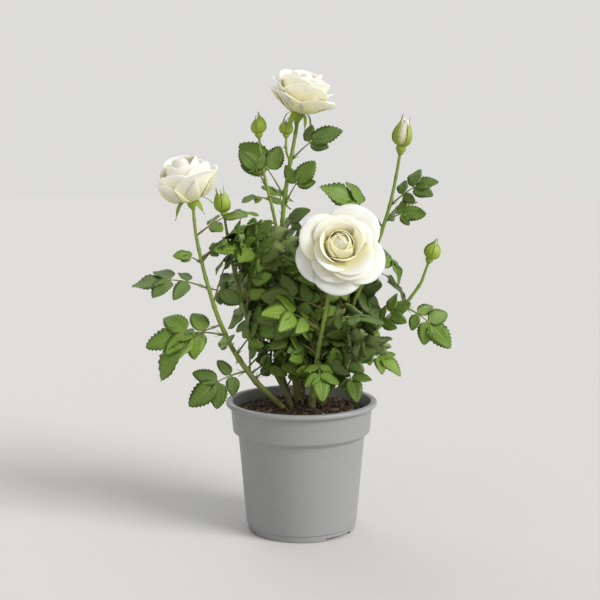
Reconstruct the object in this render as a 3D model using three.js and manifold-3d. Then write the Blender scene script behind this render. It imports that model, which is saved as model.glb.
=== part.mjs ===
// A white patio rose in a grey plastic nursery pot.
// Millimetres, +Z up. The origin is the centre of the flat pad under the pot, -Y is the front.
import * as THREE from "three";
import { mergeVertices } from "three/addons/utils/BufferGeometryUtils.js";
import Module from "manifold-3d";

const wasm = await Module();
wasm.setup();

// ---------------------------------------------------------------- driving dimensions

const GAP = 0.35;                 // clearance between solids that touch
const SHORTEST_EDGE = 0.05;       // shorter edges left by a cut are closed up
const POT_HEIGHT = 104;
const POT_RIM_RADIUS = 60;
const POT_BASE_RADIUS = 44.2;     // outside, just above the foot ring
const POT_SIDES = 36;
const WALL = 1.6;
const LIP_HEIGHT = 3.6;
const LIP_OVERHANG = 3.7;
const COLLAR_BOTTOM = 80;         // height where the wider collar starts
const COLLAR_STEP = 4;            // how far the collar stands out from the body
const FOOT_HEIGHT = 5;
const FOOT_INSET = 1;             // the foot ring is narrower than the body by this
const FLOOR_TOP = 5;
const PAD_RADIUS = 20;            // flat middle of the underside
const CHANNEL = { inner: 22, outer: 36, height: 3 };
const FOOT_GAP = { count: 3, firstAngle: -45, width: 36, height: 2.2 };
const DRAIN_HOLE = { count: 6, radius: 3.5, pitchRadius: 29 };

const SOIL = { edge: 95, middle: 97, plateau: 24 };

const CANE_SIDES = 6;
const STEP_LENGTH = 19;           // spacing of the rings along a cane
const ROOT_FLARE = 0.45;          // extra radius of a cane at the soil, as a share

const LEAFLET = { thickness: 2.6, widthShare: 0.62, taper: 0.3, sides: 6 };
const RACHIS_RADIUS = 1;
const STALK_SIDES = 3;
const TERMINAL_SHARE = 0.52;      // the end leaflet, as a share of the whole compound leaf
const ARCH = 0.07;                // how far a compound leaf arches up, as a share of its length
// Side leaflets: where they leave the stalk, their length and their angle to it.
const LEAFLET_PAIRS = [
  { at: 0.42, length: 0.42, angle: 56 },
  { at: 0.23, length: 0.32, angle: 68 },
];

// Directions that the upper side of a blade faces.
const UP = [0, -0.35, 1];
const FRONT = [0, -1, 0.25];
const SLANTED = [0, -0.75, 0.65];
const TO_RIGHT = [1, -0.45, 0.2];
const TO_LEFT = [-0.8, -0.6, 0.3];
const BACK = [0, 0.7, 0.7];

// ---------------------------------------------------------------- materials

const material = (color, roughness) =>
  new THREE.MeshStandardMaterial({ color, roughness, metalness: 0 });

const POT_PLASTIC = material(0x9b9b98, 0.5);
const SOIL_PEAT = material(0x3a2c20, 0.95);
const CANE_BARK = material(0x6f8a3c, 0.6);
const LEAF_GREEN = material(0x2c4a22, 0.45);
const PETAL_WHITE = material(0xf3efdc, 0.6);
const BUD_GREEN = material(0x8aa04a, 0.6);

// ---------------------------------------------------------------- solids

const vector = ([x, y, z]) => new THREE.Vector3(x, y, z);

/** A closed geometry as a manifold solid. */
function toSolid(geometry) {
  const bare = geometry.index ? geometry.clone() : mergeVertices(geometry);
  bare.deleteAttribute("normal");
  bare.deleteAttribute("uv");
  const merged = mergeVertices(bare, 1e-4);
  const triangles = [];
  const index = merged.index.array;
  for (let i = 0; i < index.length; i += 3) {
    const [a, b, c] = [index[i], index[i + 1], index[i + 2]];
    if (a !== b && b !== c && c !== a) triangles.push(a, b, c);
  }
  return new wasm.Manifold(new wasm.Mesh({
    numProp: 3,
    vertProperties: new Float32Array(merged.attributes.position.array),
    triVerts: new Uint32Array(triangles),
  }));
}

/** A manifold solid as a geometry. */
function toGeometry(solid) {
  const mesh = solid.getMesh();
  const geometry = new THREE.BufferGeometry();
  geometry.setAttribute("position", new THREE.BufferAttribute(mesh.vertProperties, 3));
  geometry.setIndex(new THREE.BufferAttribute(mesh.triVerts, 1));
  geometry.computeVertexNormals();
  return geometry;
}

const join = (solids) =>
  solids.reduce((all, solid) => all.add(solid)).simplify(SHORTEST_EDGE);
const cut = (solid, cutters) =>
  cutters.reduce((rest, cutter) => rest.subtract(cutter), solid).simplify(SHORTEST_EDGE);

/** The largest single body of a solid that a cut may have split. */
function largestBody(solid) {
  const bodies = solid.decompose();
  return bodies.reduce((best, body) => (body.volume() > best.volume() ? body : best));
}

/** A solid of revolution about Z from [radius, height] points that start and end on the axis. */
function revolve(profile, sides) {
  const points = profile.map(([radius, height]) => new THREE.Vector2(radius, height));
  return new THREE.LatheGeometry(points, sides).rotateX(Math.PI / 2);
}

/** A tapering round bar along a curve; a flat foot keeps its first ring level. */
function sweep(curve, radiusAt, sides, steps, flatFoot = false) {
  const bar = new THREE.CylinderGeometry(1, 1, steps, sides, steps);
  const frames = curve.computeFrenetFrames(steps, false);
  const position = bar.attributes.position;
  const corner = new THREE.Vector3();
  for (let i = 0; i < position.count; i += 1) {
    const ring = Math.round(position.getY(i) + steps / 2);
    const along = ring / steps;
    const radius = radiusAt(along);
    const centre = curve.getPointAt(along);
    corner.copy(centre)
      .addScaledVector(frames.binormals[ring], position.getX(i) * radius)
      .addScaledVector(frames.normals[ring], position.getZ(i) * radius);
    if (flatFoot && ring === 0) corner.z = centre.z;
    position.setXYZ(i, corner.x, corner.y, corner.z);
  }
  return bar;
}

/** Turns and moves a geometry so that its Z axis lies along a direction from a point. */
function aim(geometry, point, direction) {
  const turn = new THREE.Quaternion().setFromUnitVectors(
    new THREE.Vector3(0, 0, 1), direction.clone().normalize());
  return geometry.applyQuaternion(turn).translate(point.x, point.y, point.z);
}

// ---------------------------------------------------------------- pot and soil

const COLLAR_TOP = POT_HEIGHT - LIP_HEIGHT;
const COLLAR_RADIUS = POT_RIM_RADIUS - LIP_OVERHANG;
const STEP_RADIUS = COLLAR_RADIUS - 1.9;
const BODY_TOP_RADIUS = STEP_RADIUS - COLLAR_STEP;
const BODY_TOP = COLLAR_BOTTOM - 3;

/** Inner wall of the pot from rim to floor; the soil follows it. */
const INNER_WALL = [
  [POT_RIM_RADIUS - 2.4, POT_HEIGHT],
  [COLLAR_RADIUS - WALL + 0.3, COLLAR_TOP - 2],
  [STEP_RADIUS - WALL, COLLAR_BOTTOM + 0.6],
  [BODY_TOP_RADIUS - WALL, BODY_TOP],
  [POT_BASE_RADIUS - WALL, FLOOR_TOP + 1],
];

function potSolid() {
  const footRadius = POT_BASE_RADIUS - FOOT_INSET;
  const shell = toSolid(revolve([
    [0, 0],
    [PAD_RADIUS, 0],
    [CHANNEL.inner, CHANNEL.height],
    [CHANNEL.outer, CHANNEL.height],
    [CHANNEL.outer + 1.5, 0],
    [footRadius - 0.4, 0],
    [footRadius, FOOT_HEIGHT],
    [POT_BASE_RADIUS, FOOT_HEIGHT + 0.4],
    [BODY_TOP_RADIUS, BODY_TOP],
    [STEP_RADIUS, COLLAR_BOTTOM],
    [COLLAR_RADIUS, COLLAR_TOP],
    [POT_RIM_RADIUS - 0.6, COLLAR_TOP],
    [POT_RIM_RADIUS, COLLAR_TOP + 0.8],
    [POT_RIM_RADIUS, POT_HEIGHT - 0.8],
    [POT_RIM_RADIUS - 0.8, POT_HEIGHT],
    ...INNER_WALL,
    [0, FLOOR_TOP],
  ], POT_SIDES));

  const cutters = [];
  for (let i = 0; i < FOOT_GAP.count; i += 1) {
    const middle = THREE.MathUtils.degToRad(FOOT_GAP.firstAngle + i * 360 / FOOT_GAP.count);
    const chord = 2 * POT_BASE_RADIUS * Math.sin(THREE.MathUtils.degToRad(FOOT_GAP.width / 2));
    const depth = POT_BASE_RADIUS - CHANNEL.inner;
    const notch = new THREE.BoxGeometry(depth, chord, 2 * FOOT_GAP.height);
    notch.translate(CHANNEL.inner + 4 + depth / 2, 0, 0).rotateZ(middle);
    cutters.push(toSolid(notch));
  }
  for (let i = 0; i < DRAIN_HOLE.count; i += 1) {
    const angle = (i + 0.5) * 2 * Math.PI / DRAIN_HOLE.count;
    const hole = new THREE.CylinderGeometry(DRAIN_HOLE.radius, DRAIN_HOLE.radius, 4 * FLOOR_TOP, 10);
    hole.rotateX(Math.PI / 2);
    hole.translate(DRAIN_HOLE.pitchRadius * Math.cos(angle), DRAIN_HOLE.pitchRadius * Math.sin(angle), 0);
    cutters.push(toSolid(hole));
  }
  return cut(shell, cutters);
}

function soilSolid() {
  const inset = ([radius, height]) => [radius - GAP, height];
  const [, , step, bodyTop, floor] = INNER_WALL.map(inset);
  const edgeRadius = step[0] + 1.2;
  return toSolid(revolve([
    [0, FLOOR_TOP + GAP],
    [floor[0] - 0.3, FLOOR_TOP + 1 + GAP],
    bodyTop,
    [step[0] - 0.2, step[1] + 0.2],
    [edgeRadius, SOIL.edge],
    [SOIL.plateau, SOIL.middle],
    [0, SOIL.middle],
  ], POT_SIDES));
}

// ---------------------------------------------------------------- canes

const FOOT = SOIL.middle + GAP;

// Each cane rises from its foot in the soil through its bends to its tip.
// A shoot starts on another cane at the height given instead.
const CANES = {
  left_bloom: { radii: [2.5, 1.2], through: [[-11, -1, FOOT], [-31, -8, 114], [-60, -16, 160], [-80, -17, 230], [-83, -16, 256]] },
  left_bud: { radii: [2.2, 1], through: [[-7, 5, FOOT], [-20, 2, 124], [-45, -2, 174], [-57, -3, 230], [-60, -3, 249]] },
  top_bloom: { radii: [2.8, 1.4], through: [[-1, 10, FOOT], [-9, 9, 142], [-15, 8, 196], [-14, 8, 257], [-3, 8, 323]] },
  front_bloom: { radii: [2.4, 1.3], through: [[8, -4, FOOT], [12, -16, 140], [18, -26, 176], [22, -29, 200], [28, -32, 224]] },
  right_opening: { radii: [2.5, 1.2], through: [[6, 13, FOOT], [19, 16, 125], [56, 18, 214], [71, 18, 260], [78, 18, 298]] },
  right_low: { radii: [2.3, 1.1], through: [[14, 4, FOOT], [50, -4, 154], [77, -4, 176], [94, -4, 198], [99, -4, 213]] },
  back_left: { radii: [2.3, 1], through: [[-9, 14, FOOT], [-20, 32, 132], [-34, 46, 172], [-42, 52, 206]] },
  back_middle: { radii: [2.3, 1], through: [[0, 20, FOOT], [2, 38, 140], [4, 52, 190], [2, 58, 232]] },
  back_right: { radii: [2.3, 1], through: [[12, 18, FOOT], [24, 36, 130], [42, 48, 168], [52, 54, 204]] },
  top_bud: { radii: [1.5, 1], on: "top_bloom", at: 218, through: [[-22, 5, 252], [-30, 5, 285], [-33, 5, 310]] },
  second_bud: { radii: [1.1, 0.9], on: "top_bloom", at: 290, through: [[-12, 4, 300], [-12, 4, 310]] },
};

const caneCurves = {};

/** Point on a cane's centreline at a height. */
function caneAt(name, height) {
  const curve = caneCurves[name];
  const samples = curve.getSpacedPoints(200);
  return samples.reduce((best, point) =>
    (Math.abs(point.z - height) < Math.abs(best.z - height) ? point : best));
}

/** Radius of a cane at a height, by its share of the way up. */
function caneRadiusAt(name, height) {
  const [foot, tip] = CANES[name].radii;
  const curve = caneCurves[name];
  const low = curve.getPoint(0).z;
  const share = (height - low) / (curve.getPoint(1).z - low);
  return THREE.MathUtils.lerp(foot, tip, THREE.MathUtils.clamp(share, 0, 1));
}

/** A start point just clear of a cane's side, towards a target. */
function besideCane(name, height, target, ownRadius = 0) {
  const start = caneAt(name, height);
  const away = vector(target).sub(start).normalize();
  const clearance = caneRadiusAt(name, height) + ownRadius + GAP;
  return start.addScaledVector(away, clearance);
}

function layOutCanes() {
  for (const [name, cane] of Object.entries(CANES)) {
    const points = cane.through.map(vector);
    if (cane.on) points.unshift(besideCane(cane.on, cane.at, cane.through[0], cane.radii[0]));
    caneCurves[name] = new THREE.CatmullRomCurve3(points, false, "centripetal");
  }
}

/** A cane as a solid, or grown on all sides for cutting its neighbours. */
function caneSolid(name, grow = 0) {
  const { radii: [foot, tip], on } = CANES[name];
  const curve = caneCurves[name];
  const flare = on ? 0 : ROOT_FLARE;
  const radiusAt = (along) =>
    THREE.MathUtils.lerp(foot, tip, along) * (1 + flare * Math.exp(-14 * along)) + grow;
  const steps = Math.max(3, Math.round(curve.getLength() / STEP_LENGTH));
  return toSolid(sweep(curve, radiusAt, CANE_SIDES, steps, !on));
}

// ---------------------------------------------------------------- blooms and buds

// A bloom sits on its cane's tip; facing is the way that it opens.
const BLOOMS = {
  top: { cane: "top_bloom", facing: [0.2, -0.1, 1], radius: 28, height: 39 },
  left: { cane: "left_bloom", facing: [-0.25, -0.15, 1], radius: 24, height: 38 },
  front: { cane: "front_bloom", facing: [0.06, -0.92, 0.38], radius: 32, height: 30 },
};

// A bud carries on from its cane's tip.
const BUDS = {
  top_left: { cane: "top_bud", radius: 5.6, height: 17 },
  top_middle: { cane: "second_bud", radius: 4.6, height: 13 },
  right_opening: { cane: "right_opening", radius: 8, height: 29 },
  left: { cane: "left_bud", radius: 5, height: 19 },
  right_low: { cane: "right_low", radius: 6, height: 17 },
};

const BLOOM_SIDES = 14;
const BUD_SIDES = 8;
// Outlines as shares of the radius and the height, from the calyx to the middle of the top.
const BLOOM_OUTLINE = [[0.12, 0.01], [0.2, 0.14], [0.62, 0.3], [0.97, 0.62], [0.94, 0.84], [0.6, 0.97], [0.3, 0.86]];
const BUD_OUTLINE = [[0.3, 0.01], [0.62, 0.08], [0.6, 0.2], [1, 0.42], [0.85, 0.72], [0.35, 0.95]];

function flowerSolid({ cane, facing, radius, height }, outline, sides, wave, grow = 0) {
  const curve = caneCurves[cane];
  const direction = facing ? vector(facing).normalize() : curve.getTangentAt(1);
  const profile = outline.map(([out, up]) => [out * radius + grow, up * height]);
  const shape = revolve([[0, -grow], ...profile, [0, height + grow]], sides);
  const position = shape.attributes.position;
  for (let i = 0; i < position.count; i += 1) {
    const angle = Math.atan2(position.getY(i), position.getX(i));
    const swell = 1 + wave * Math.cos(5 * angle + position.getZ(i) / 6);
    position.setXY(i, position.getX(i) * swell, position.getY(i) * swell);
  }
  const base = curve.getPointAt(1).addScaledVector(direction, GAP + 0.5);
  return toSolid(aim(shape, base, direction));
}

const bloomSolid = (name, grow) => flowerSolid(BLOOMS[name], BLOOM_OUTLINE, BLOOM_SIDES, 0.05, grow);
const budSolid = (name, grow) => flowerSolid(BUDS[name], BUD_OUTLINE, BUD_SIDES, 0, grow);

// ---------------------------------------------------------------- compound leaves

// Each compound leaf: its cane, the height where it leaves it, its tip and the way it faces.
const LEAVES = {
  left_high_out: { cane: "left_bloom", at: 213, tip: [-98, -25, 222], facing: SLANTED, pairs: 1 },
  left_high_in: { cane: "left_bloom", at: 216, tip: [-58, -24, 229], facing: SLANTED, pairs: 1 },
  left_upper: { cane: "left_bloom", at: 195, tip: [-131, -24, 197], facing: UP, pairs: 2 },
  left_lower: { cane: "left_bloom", at: 158, tip: [-121, -24, 150], facing: SLANTED, pairs: 2 },
  left_hanging: { cane: "left_bloom", at: 168, tip: [-113, -34, 130], facing: TO_LEFT, pairs: 1 },
  left_bottom: { cane: "left_bloom", at: 128, tip: [-87, -30, 105], facing: FRONT, pairs: 2 },
  left_inner: { cane: "left_bud", at: 178, tip: [-77, -24, 211], facing: FRONT, pairs: 1 },
  left_low_inner: { cane: "left_bloom", at: 142, tip: [-64, -38, 158], facing: FRONT, pairs: 1 },
  bud_side_left: { cane: "left_bud", at: 222, tip: [-66, -22, 206], facing: TO_LEFT, pairs: 1 },
  bud_side_right: { cane: "left_bud", at: 214, tip: [-36, -14, 234], facing: SLANTED, pairs: 1 },
  top_left_up: { cane: "top_bloom", at: 262, tip: [-48, 14, 308], facing: SLANTED, pairs: 1 },
  top_left_down: { cane: "top_bud", at: 270, tip: [-48, -8, 299], facing: FRONT, pairs: 1 },
  top_left_low: { cane: "top_bud", at: 262, tip: [-46, -10, 262], facing: UP, pairs: 1 },
  top_right: { cane: "top_bloom", at: 291, tip: [31, -2, 318], facing: SLANTED, pairs: 1 },
  top_middle: { cane: "top_bloom", at: 256, tip: [11, -6, 292], facing: FRONT, pairs: 1 },
  top_back: { cane: "top_bloom", at: 246, tip: [-20, 50, 272], facing: BACK, pairs: 2 },
  middle_right_top: { cane: "right_opening", at: 239, tip: [14, 0, 272], facing: SLANTED, pairs: 1 },
  middle_left_high: { cane: "top_bloom", at: 212, tip: [-67, -28, 226], facing: SLANTED, pairs: 2 },
  middle_left_low: { cane: "top_bloom", at: 196, tip: [-50, -26, 196], facing: UP, pairs: 2 },
  middle_up: { cane: "top_bloom", at: 232, tip: [4, -14, 256], facing: SLANTED, pairs: 1 },
  right_top: { cane: "right_opening", at: 256, tip: [107, 8, 278], facing: SLANTED, pairs: 2 },
  right_middle: { cane: "right_opening", at: 243, tip: [98, 4, 252], facing: FRONT, pairs: 1 },
  right_hanging: { cane: "right_opening", at: 228, tip: [80, 2, 197], facing: TO_RIGHT, pairs: 2 },
  right_back: { cane: "right_opening", at: 246, tip: [88, 58, 252], facing: BACK, pairs: 2 },
  right_arm: { cane: "right_low", at: 178, tip: [117, -12, 147], facing: FRONT, pairs: 2 },
  right_up: { cane: "right_low", at: 156, tip: [84, -24, 184], facing: SLANTED, pairs: 2 },
  right_low: { cane: "right_low", at: 143, tip: [79, -16, 128], facing: SLANTED, pairs: 2 },
  front_low_left: { cane: "front_bloom", at: 142, tip: [15, -46, 112], facing: FRONT, pairs: 2 },
  front_low_right: { cane: "right_low", at: 132, tip: [43, -34, 110], facing: FRONT, pairs: 2 },
  front_middle: { cane: "front_bloom", at: 162, tip: [-29, -52, 182], facing: SLANTED, pairs: 2 },
  front_right: { cane: "front_bloom", at: 168, tip: [62, -48, 172], facing: UP, pairs: 2 },
};

/** A leaflet as a flat double pyramid of leaf outline. */
function leafletSolid(base, direction, normal, length, grow) {
  const along = direction.clone().normalize();
  const across = new THREE.Vector3().crossVectors(along, normal).normalize();
  const out = new THREE.Vector3().crossVectors(across, along);
  const pad = new THREE.SphereGeometry(1, LEAFLET.sides, 2);
  const position = pad.attributes.position;
  const halfWidth = 0.5 * length * LEAFLET.widthShare + grow;
  const halfThickness = LEAFLET.thickness / 2 + grow;
  const corner = new THREE.Vector3();
  for (let i = 0; i < position.count; i += 1) {
    const [x, y, z] = [position.getX(i), position.getY(i), position.getZ(i)];
    corner.copy(base)
      .addScaledVector(along, length / 2 + x * (length / 2 + grow))
      .addScaledVector(out, y * halfThickness)
      .addScaledVector(across, z * halfWidth * (1 - LEAFLET.taper * x));
    position.setXYZ(i, corner.x, corner.y, corner.z);
  }
  return toSolid(pad);
}

/** A compound leaf: a stalk, an end leaflet and pairs of side leaflets. */
function compoundLeafSolid(leaf, grow = 0) {
  const start = besideCane(leaf.cane, leaf.at, leaf.tip, RACHIS_RADIUS);
  const tip = vector(leaf.tip);
  const length = start.distanceTo(tip);
  const middle = start.clone().lerp(tip, 0.5).add(new THREE.Vector3(0, 0, 2 * ARCH * length));
  const spine = new THREE.QuadraticBezierCurve3(start, middle, tip);
  const facing = vector(leaf.facing).normalize();

  const stalkEnd = 1 - TERMINAL_SHARE;
  const stalk = new THREE.QuadraticBezierCurve3(
    start, spine.getPointAt(stalkEnd / 2), spine.getPointAt(stalkEnd + 0.05));
  const parts = [
    toSolid(sweep(stalk, () => RACHIS_RADIUS + grow, STALK_SIDES, 2)),
    leafletSolid(spine.getPointAt(stalkEnd), tip.clone().sub(spine.getPointAt(stalkEnd)),
      facing, length * TERMINAL_SHARE, grow),
  ];
  for (const pair of LEAFLET_PAIRS.slice(0, leaf.pairs)) {
    const base = spine.getPointAt(pair.at);
    const forward = spine.getTangentAt(pair.at);
    const normal = facing.clone().addScaledVector(forward, -facing.dot(forward)).normalize();
    for (const side of [-1, 1]) {
      const turned = forward.clone()
        .applyAxisAngle(normal, side * THREE.MathUtils.degToRad(pair.angle));
      parts.push(leafletSolid(base, turned, normal, length * pair.length, grow));
    }
  }
  return join(parts);
}

// ---------------------------------------------------------------- foliage masses

// Where leaves crowd too closely to tell apart: centre and half sizes of each mass.
const MASSES = {
  upper_left: { centre: [-32, -4, 235], half: [24, 12, 20] },
  middle_left: { centre: [-25, -16, 174], half: [24, 14, 24] },
  middle_right: { centre: [46, -24, 158], half: [26, 14, 22] },
  middle_high: { centre: [10, 2, 214], half: [26, 16, 22] },
  low: { centre: [12, 22, 148], half: [34, 14, 20] },
  back_left: { centre: [-36, 44, 186], half: [26, 22, 28] },
  back_middle: { centre: [2, 56, 224], half: [24, 18, 26] },
  back_right: { centre: [48, 46, 184], half: [28, 22, 30] },
};
const MASS_UNEVENNESS = 0.13;

/** An uneven closed mass of leaves. */
function massSolid({ centre, half }) {
  const shape = new THREE.IcosahedronGeometry(1, 1);
  const position = shape.attributes.position;
  for (let i = 0; i < position.count; i += 1) {
    const [x, y, z] = [position.getX(i), position.getY(i), position.getZ(i)];
    const lump = Math.sin(5 * x + centre[0]) * Math.cos(4 * y + centre[1]) + Math.sin(6 * z + centre[2]);
    const size = 1 + MASS_UNEVENNESS * lump;
    position.setXYZ(i, centre[0] + x * size * half[0], centre[1] + y * size * half[1],
      centre[2] + z * size * half[2]);
  }
  return toSolid(shape);
}

// ---------------------------------------------------------------- assembly

layOutCanes();

const rose = new THREE.Group();
const taken = [];

/** Adds a solid under a name, cut clear of all that is there, and keeps its grown shape. */
function place(name, look, solid, grown) {
  const box = solid.boundingBox();
  const near = taken.filter((other) => overlaps(other.boundingBox(), box));
  const rest = near.length ? largestBody(cut(solid, near)) : solid;
  const mesh = new THREE.Mesh(toGeometry(rest), look);
  mesh.name = name;
  rose.add(mesh);
  if (grown) taken.push(grown);
}

const overlaps = (a, b) =>
  [0, 1, 2].every((axis) => a.min[axis] <= b.max[axis] && b.min[axis] <= a.max[axis]);

place("pot", POT_PLASTIC, potSolid());
place("soil", SOIL_PEAT, soilSolid());
for (const name of Object.keys(CANES)) {
  place(`cane_${name}`, CANE_BARK, caneSolid(name), caneSolid(name, GAP));
}
for (const name of Object.keys(BLOOMS)) {
  place(`bloom_${name}`, PETAL_WHITE, bloomSolid(name), bloomSolid(name, GAP));
}
for (const name of Object.keys(BUDS)) {
  place(`bud_${name}`, BUD_GREEN, budSolid(name), budSolid(name, GAP));
}
for (const [name, leaf] of Object.entries(LEAVES)) {
  place(`leaf_${name}`, LEAF_GREEN, compoundLeafSolid(leaf), compoundLeafSolid(leaf, GAP));
}
for (const [name, mass] of Object.entries(MASSES)) {
  const solid = massSolid(mass);
  place(`foliage_${name}`, LEAF_GREEN, solid, solid);
}

export default rose;
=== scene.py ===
"""A white patio rose in a grey plastic nursery pot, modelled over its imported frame."""

import logging
import math
from dataclasses import dataclass, field, replace
from enum import Enum

import bpy
import numpy as np
from mathutils import Matrix, Vector

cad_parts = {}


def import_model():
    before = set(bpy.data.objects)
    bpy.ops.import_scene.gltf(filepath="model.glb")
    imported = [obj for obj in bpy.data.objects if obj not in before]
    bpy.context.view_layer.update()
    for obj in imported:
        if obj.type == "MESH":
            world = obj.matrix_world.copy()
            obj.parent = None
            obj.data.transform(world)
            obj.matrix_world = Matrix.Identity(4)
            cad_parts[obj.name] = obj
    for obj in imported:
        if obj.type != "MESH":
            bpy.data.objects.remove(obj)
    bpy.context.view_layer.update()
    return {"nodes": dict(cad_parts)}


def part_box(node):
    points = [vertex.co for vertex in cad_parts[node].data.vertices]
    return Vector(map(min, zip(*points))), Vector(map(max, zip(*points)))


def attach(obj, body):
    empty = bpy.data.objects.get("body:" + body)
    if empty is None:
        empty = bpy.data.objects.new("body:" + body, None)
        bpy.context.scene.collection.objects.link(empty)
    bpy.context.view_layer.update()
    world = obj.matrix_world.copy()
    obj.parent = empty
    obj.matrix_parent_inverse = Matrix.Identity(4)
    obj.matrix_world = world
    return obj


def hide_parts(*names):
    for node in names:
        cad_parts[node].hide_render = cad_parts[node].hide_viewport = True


LOG = logging.getLogger("patio_rose")
MM = 0.001
SEED = 29
GOLDEN_ANGLE = math.radians(137.5)
UP = np.array([0.0, 0.0, 1.0])
LEAF_MAP = "Leaf"
PETAL_MAP = "Petal"
STALK_MAP = "Stalk"

Colour = tuple[float, float, float, float]
Triple = tuple[float, float, float]


# ---------------------------------------------------------------- small sums

def unit(vector: np.ndarray) -> np.ndarray:
    """Scale a vector to length one."""
    length = np.linalg.norm(vector)
    return vector / length if length else np.array(UP)


def square_to(vector: np.ndarray, axis: np.ndarray) -> np.ndarray:
    """Return the part of a vector at right angles to an axis, as a unit vector."""
    axis = unit(axis)
    rest = vector - np.dot(vector, axis) * axis
    if np.linalg.norm(rest) < 1e-6:
        rest = np.cross(axis, [1.0, 0.0, 0.0] if abs(axis[0]) < 0.9 else [0.0, 1.0, 0.0])
    return unit(rest)


def turned(vector: np.ndarray, axis: np.ndarray, angle: float) -> np.ndarray:
    """Turn a vector about a unit axis by an angle in radians."""
    along = np.dot(vector, axis) * axis
    return along + (vector - along) * math.cos(angle) + np.cross(axis, vector) * math.sin(angle)


def bend(start: np.ndarray, middle: np.ndarray, end: np.ndarray, shares: np.ndarray) -> np.ndarray:
    """Points on a quadratic curve at the given shares of the way along it."""
    t = np.asarray(shares, dtype=float)[:, None]
    return (1 - t) ** 2 * start + 2 * t * (1 - t) * middle + t ** 2 * end


def ease(value: np.ndarray, low: float, high: float) -> np.ndarray:
    """Rise smoothly from 0 at low to 1 at high."""
    share = np.clip((np.asarray(value, dtype=float) - low) / (high - low), 0.0, 1.0)
    return share * share * (3 - 2 * share)


# ---------------------------------------------------------------- reading the frame

def corner_places(mesh: bpy.types.Mesh) -> np.ndarray:
    """Read the places of a mesh's corners, one row each."""
    places = np.empty(len(mesh.vertices) * 3)
    mesh.vertices.foreach_get("co", places)
    return places.reshape(-1, 3)


def store_shade(mesh: bpy.types.Mesh, values: np.ndarray) -> None:
    """Store a value from 0 to 1 at every corner, which the finishes read as shade."""
    shade = mesh.attributes.new("shade", "FLOAT", "POINT")
    shade.data.foreach_set("value", values.astype(np.float32))


@dataclass(frozen=True)
class NodeShape:
    """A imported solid's corners and triangles, with its doubles merged."""

    corners: np.ndarray
    triangles: np.ndarray

    @classmethod
    def read(cls, node: bpy.types.Object) -> "NodeShape":
        """Read a node of the frame.

        Args:
            node: The node's object.

        Returns:
            Its merged shape in metres.
        """
        mesh = node.data
        used = np.empty(len(mesh.loops), dtype=np.int64)
        mesh.loops.foreach_get("vertex_index", used)
        corners, index = np.unique(np.round(corner_places(mesh), 6), axis=0, return_inverse=True)
        return cls(corners, index.reshape(-1)[used].reshape(-1, 3))

    def level_cut(self, height: float) -> np.ndarray:
        """Points where the solid's edges cross a level plane.

        Args:
            height: The plane's height.

        Returns:
            The crossing points, in any order.
        """
        pairs = np.vstack([self.triangles[:, [0, 1]], self.triangles[:, [1, 2]], self.triangles[:, [2, 0]]])
        low, high = self.corners[pairs[:, 0]], self.corners[pairs[:, 1]]
        crossing = (low[:, 2] - height) * (high[:, 2] - height) < 0
        low, high = low[crossing], high[crossing]
        share = (height - low[:, 2]) / (high[:, 2] - low[:, 2])
        return np.unique(np.round(low + share[:, None] * (high - low), 7), axis=0)


@dataclass(frozen=True)
class LimbPath:
    """The centreline and thickness of a cane, from its foot to its tip."""

    points: np.ndarray
    radii: np.ndarray

    @classmethod
    def from_node(cls, node: bpy.types.Object, levels: int = 40, inset: float = 0.6 * MM,
                  flattest: float = 0.3, smoothed_over: int = 5) -> "LimbPath":
        """Follow a cane's solid up by level cuts.

        Args:
            node: The cane's node.
            levels: How many cuts are made.
            inset: How far the first and last cuts lie within the solid.
            flattest: The least rise per length that a slanting cut's width is corrected for.
            smoothed_over: How many cuts each radius is averaged over, an odd number.

        Returns:
            The path through the middles of the cuts.
        """
        shape = NodeShape.read(node)
        low, high = shape.corners[:, 2].min(), shape.corners[:, 2].max()
        centres, widths = [], []
        for height in np.linspace(low + inset, high - inset, levels):
            cut = shape.level_cut(height)
            centre = cut.mean(axis=0)
            centres.append(centre)
            widths.append(np.median(np.linalg.norm(cut - centre, axis=1)))
        points = np.array(centres)
        points[0, 2], points[-1, 2] = low, high
        tangents = np.gradient(points, axis=0)
        upright = tangents[:, 2] / np.linalg.norm(tangents, axis=1)
        radii = np.array(widths) * np.sqrt(np.clip(upright, flattest, 1.0))
        kernel = np.ones(smoothed_over) / smoothed_over
        smooth = np.convolve(np.pad(radii, smoothed_over // 2, mode="edge"), kernel, mode="valid")
        return cls(points, smooth)

    def nearest(self, point: np.ndarray) -> tuple[int, float]:
        """Index of the nearest point of the path and its distance."""
        away = np.linalg.norm(self.points - point, axis=1)
        index = int(away.argmin())
        return index, float(away[index])

    def tangent(self, index: int) -> np.ndarray:
        """Direction of growth at a point of the path."""
        ahead = self.points[min(index + 1, len(self.points) - 1)]
        return unit(ahead - self.points[max(index - 1, 0)])

    @property
    def length(self) -> float:
        """Length along the path."""
        return float(np.linalg.norm(np.diff(self.points, axis=0), axis=1).sum())


# ---------------------------------------------------------------- joined meshes

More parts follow.
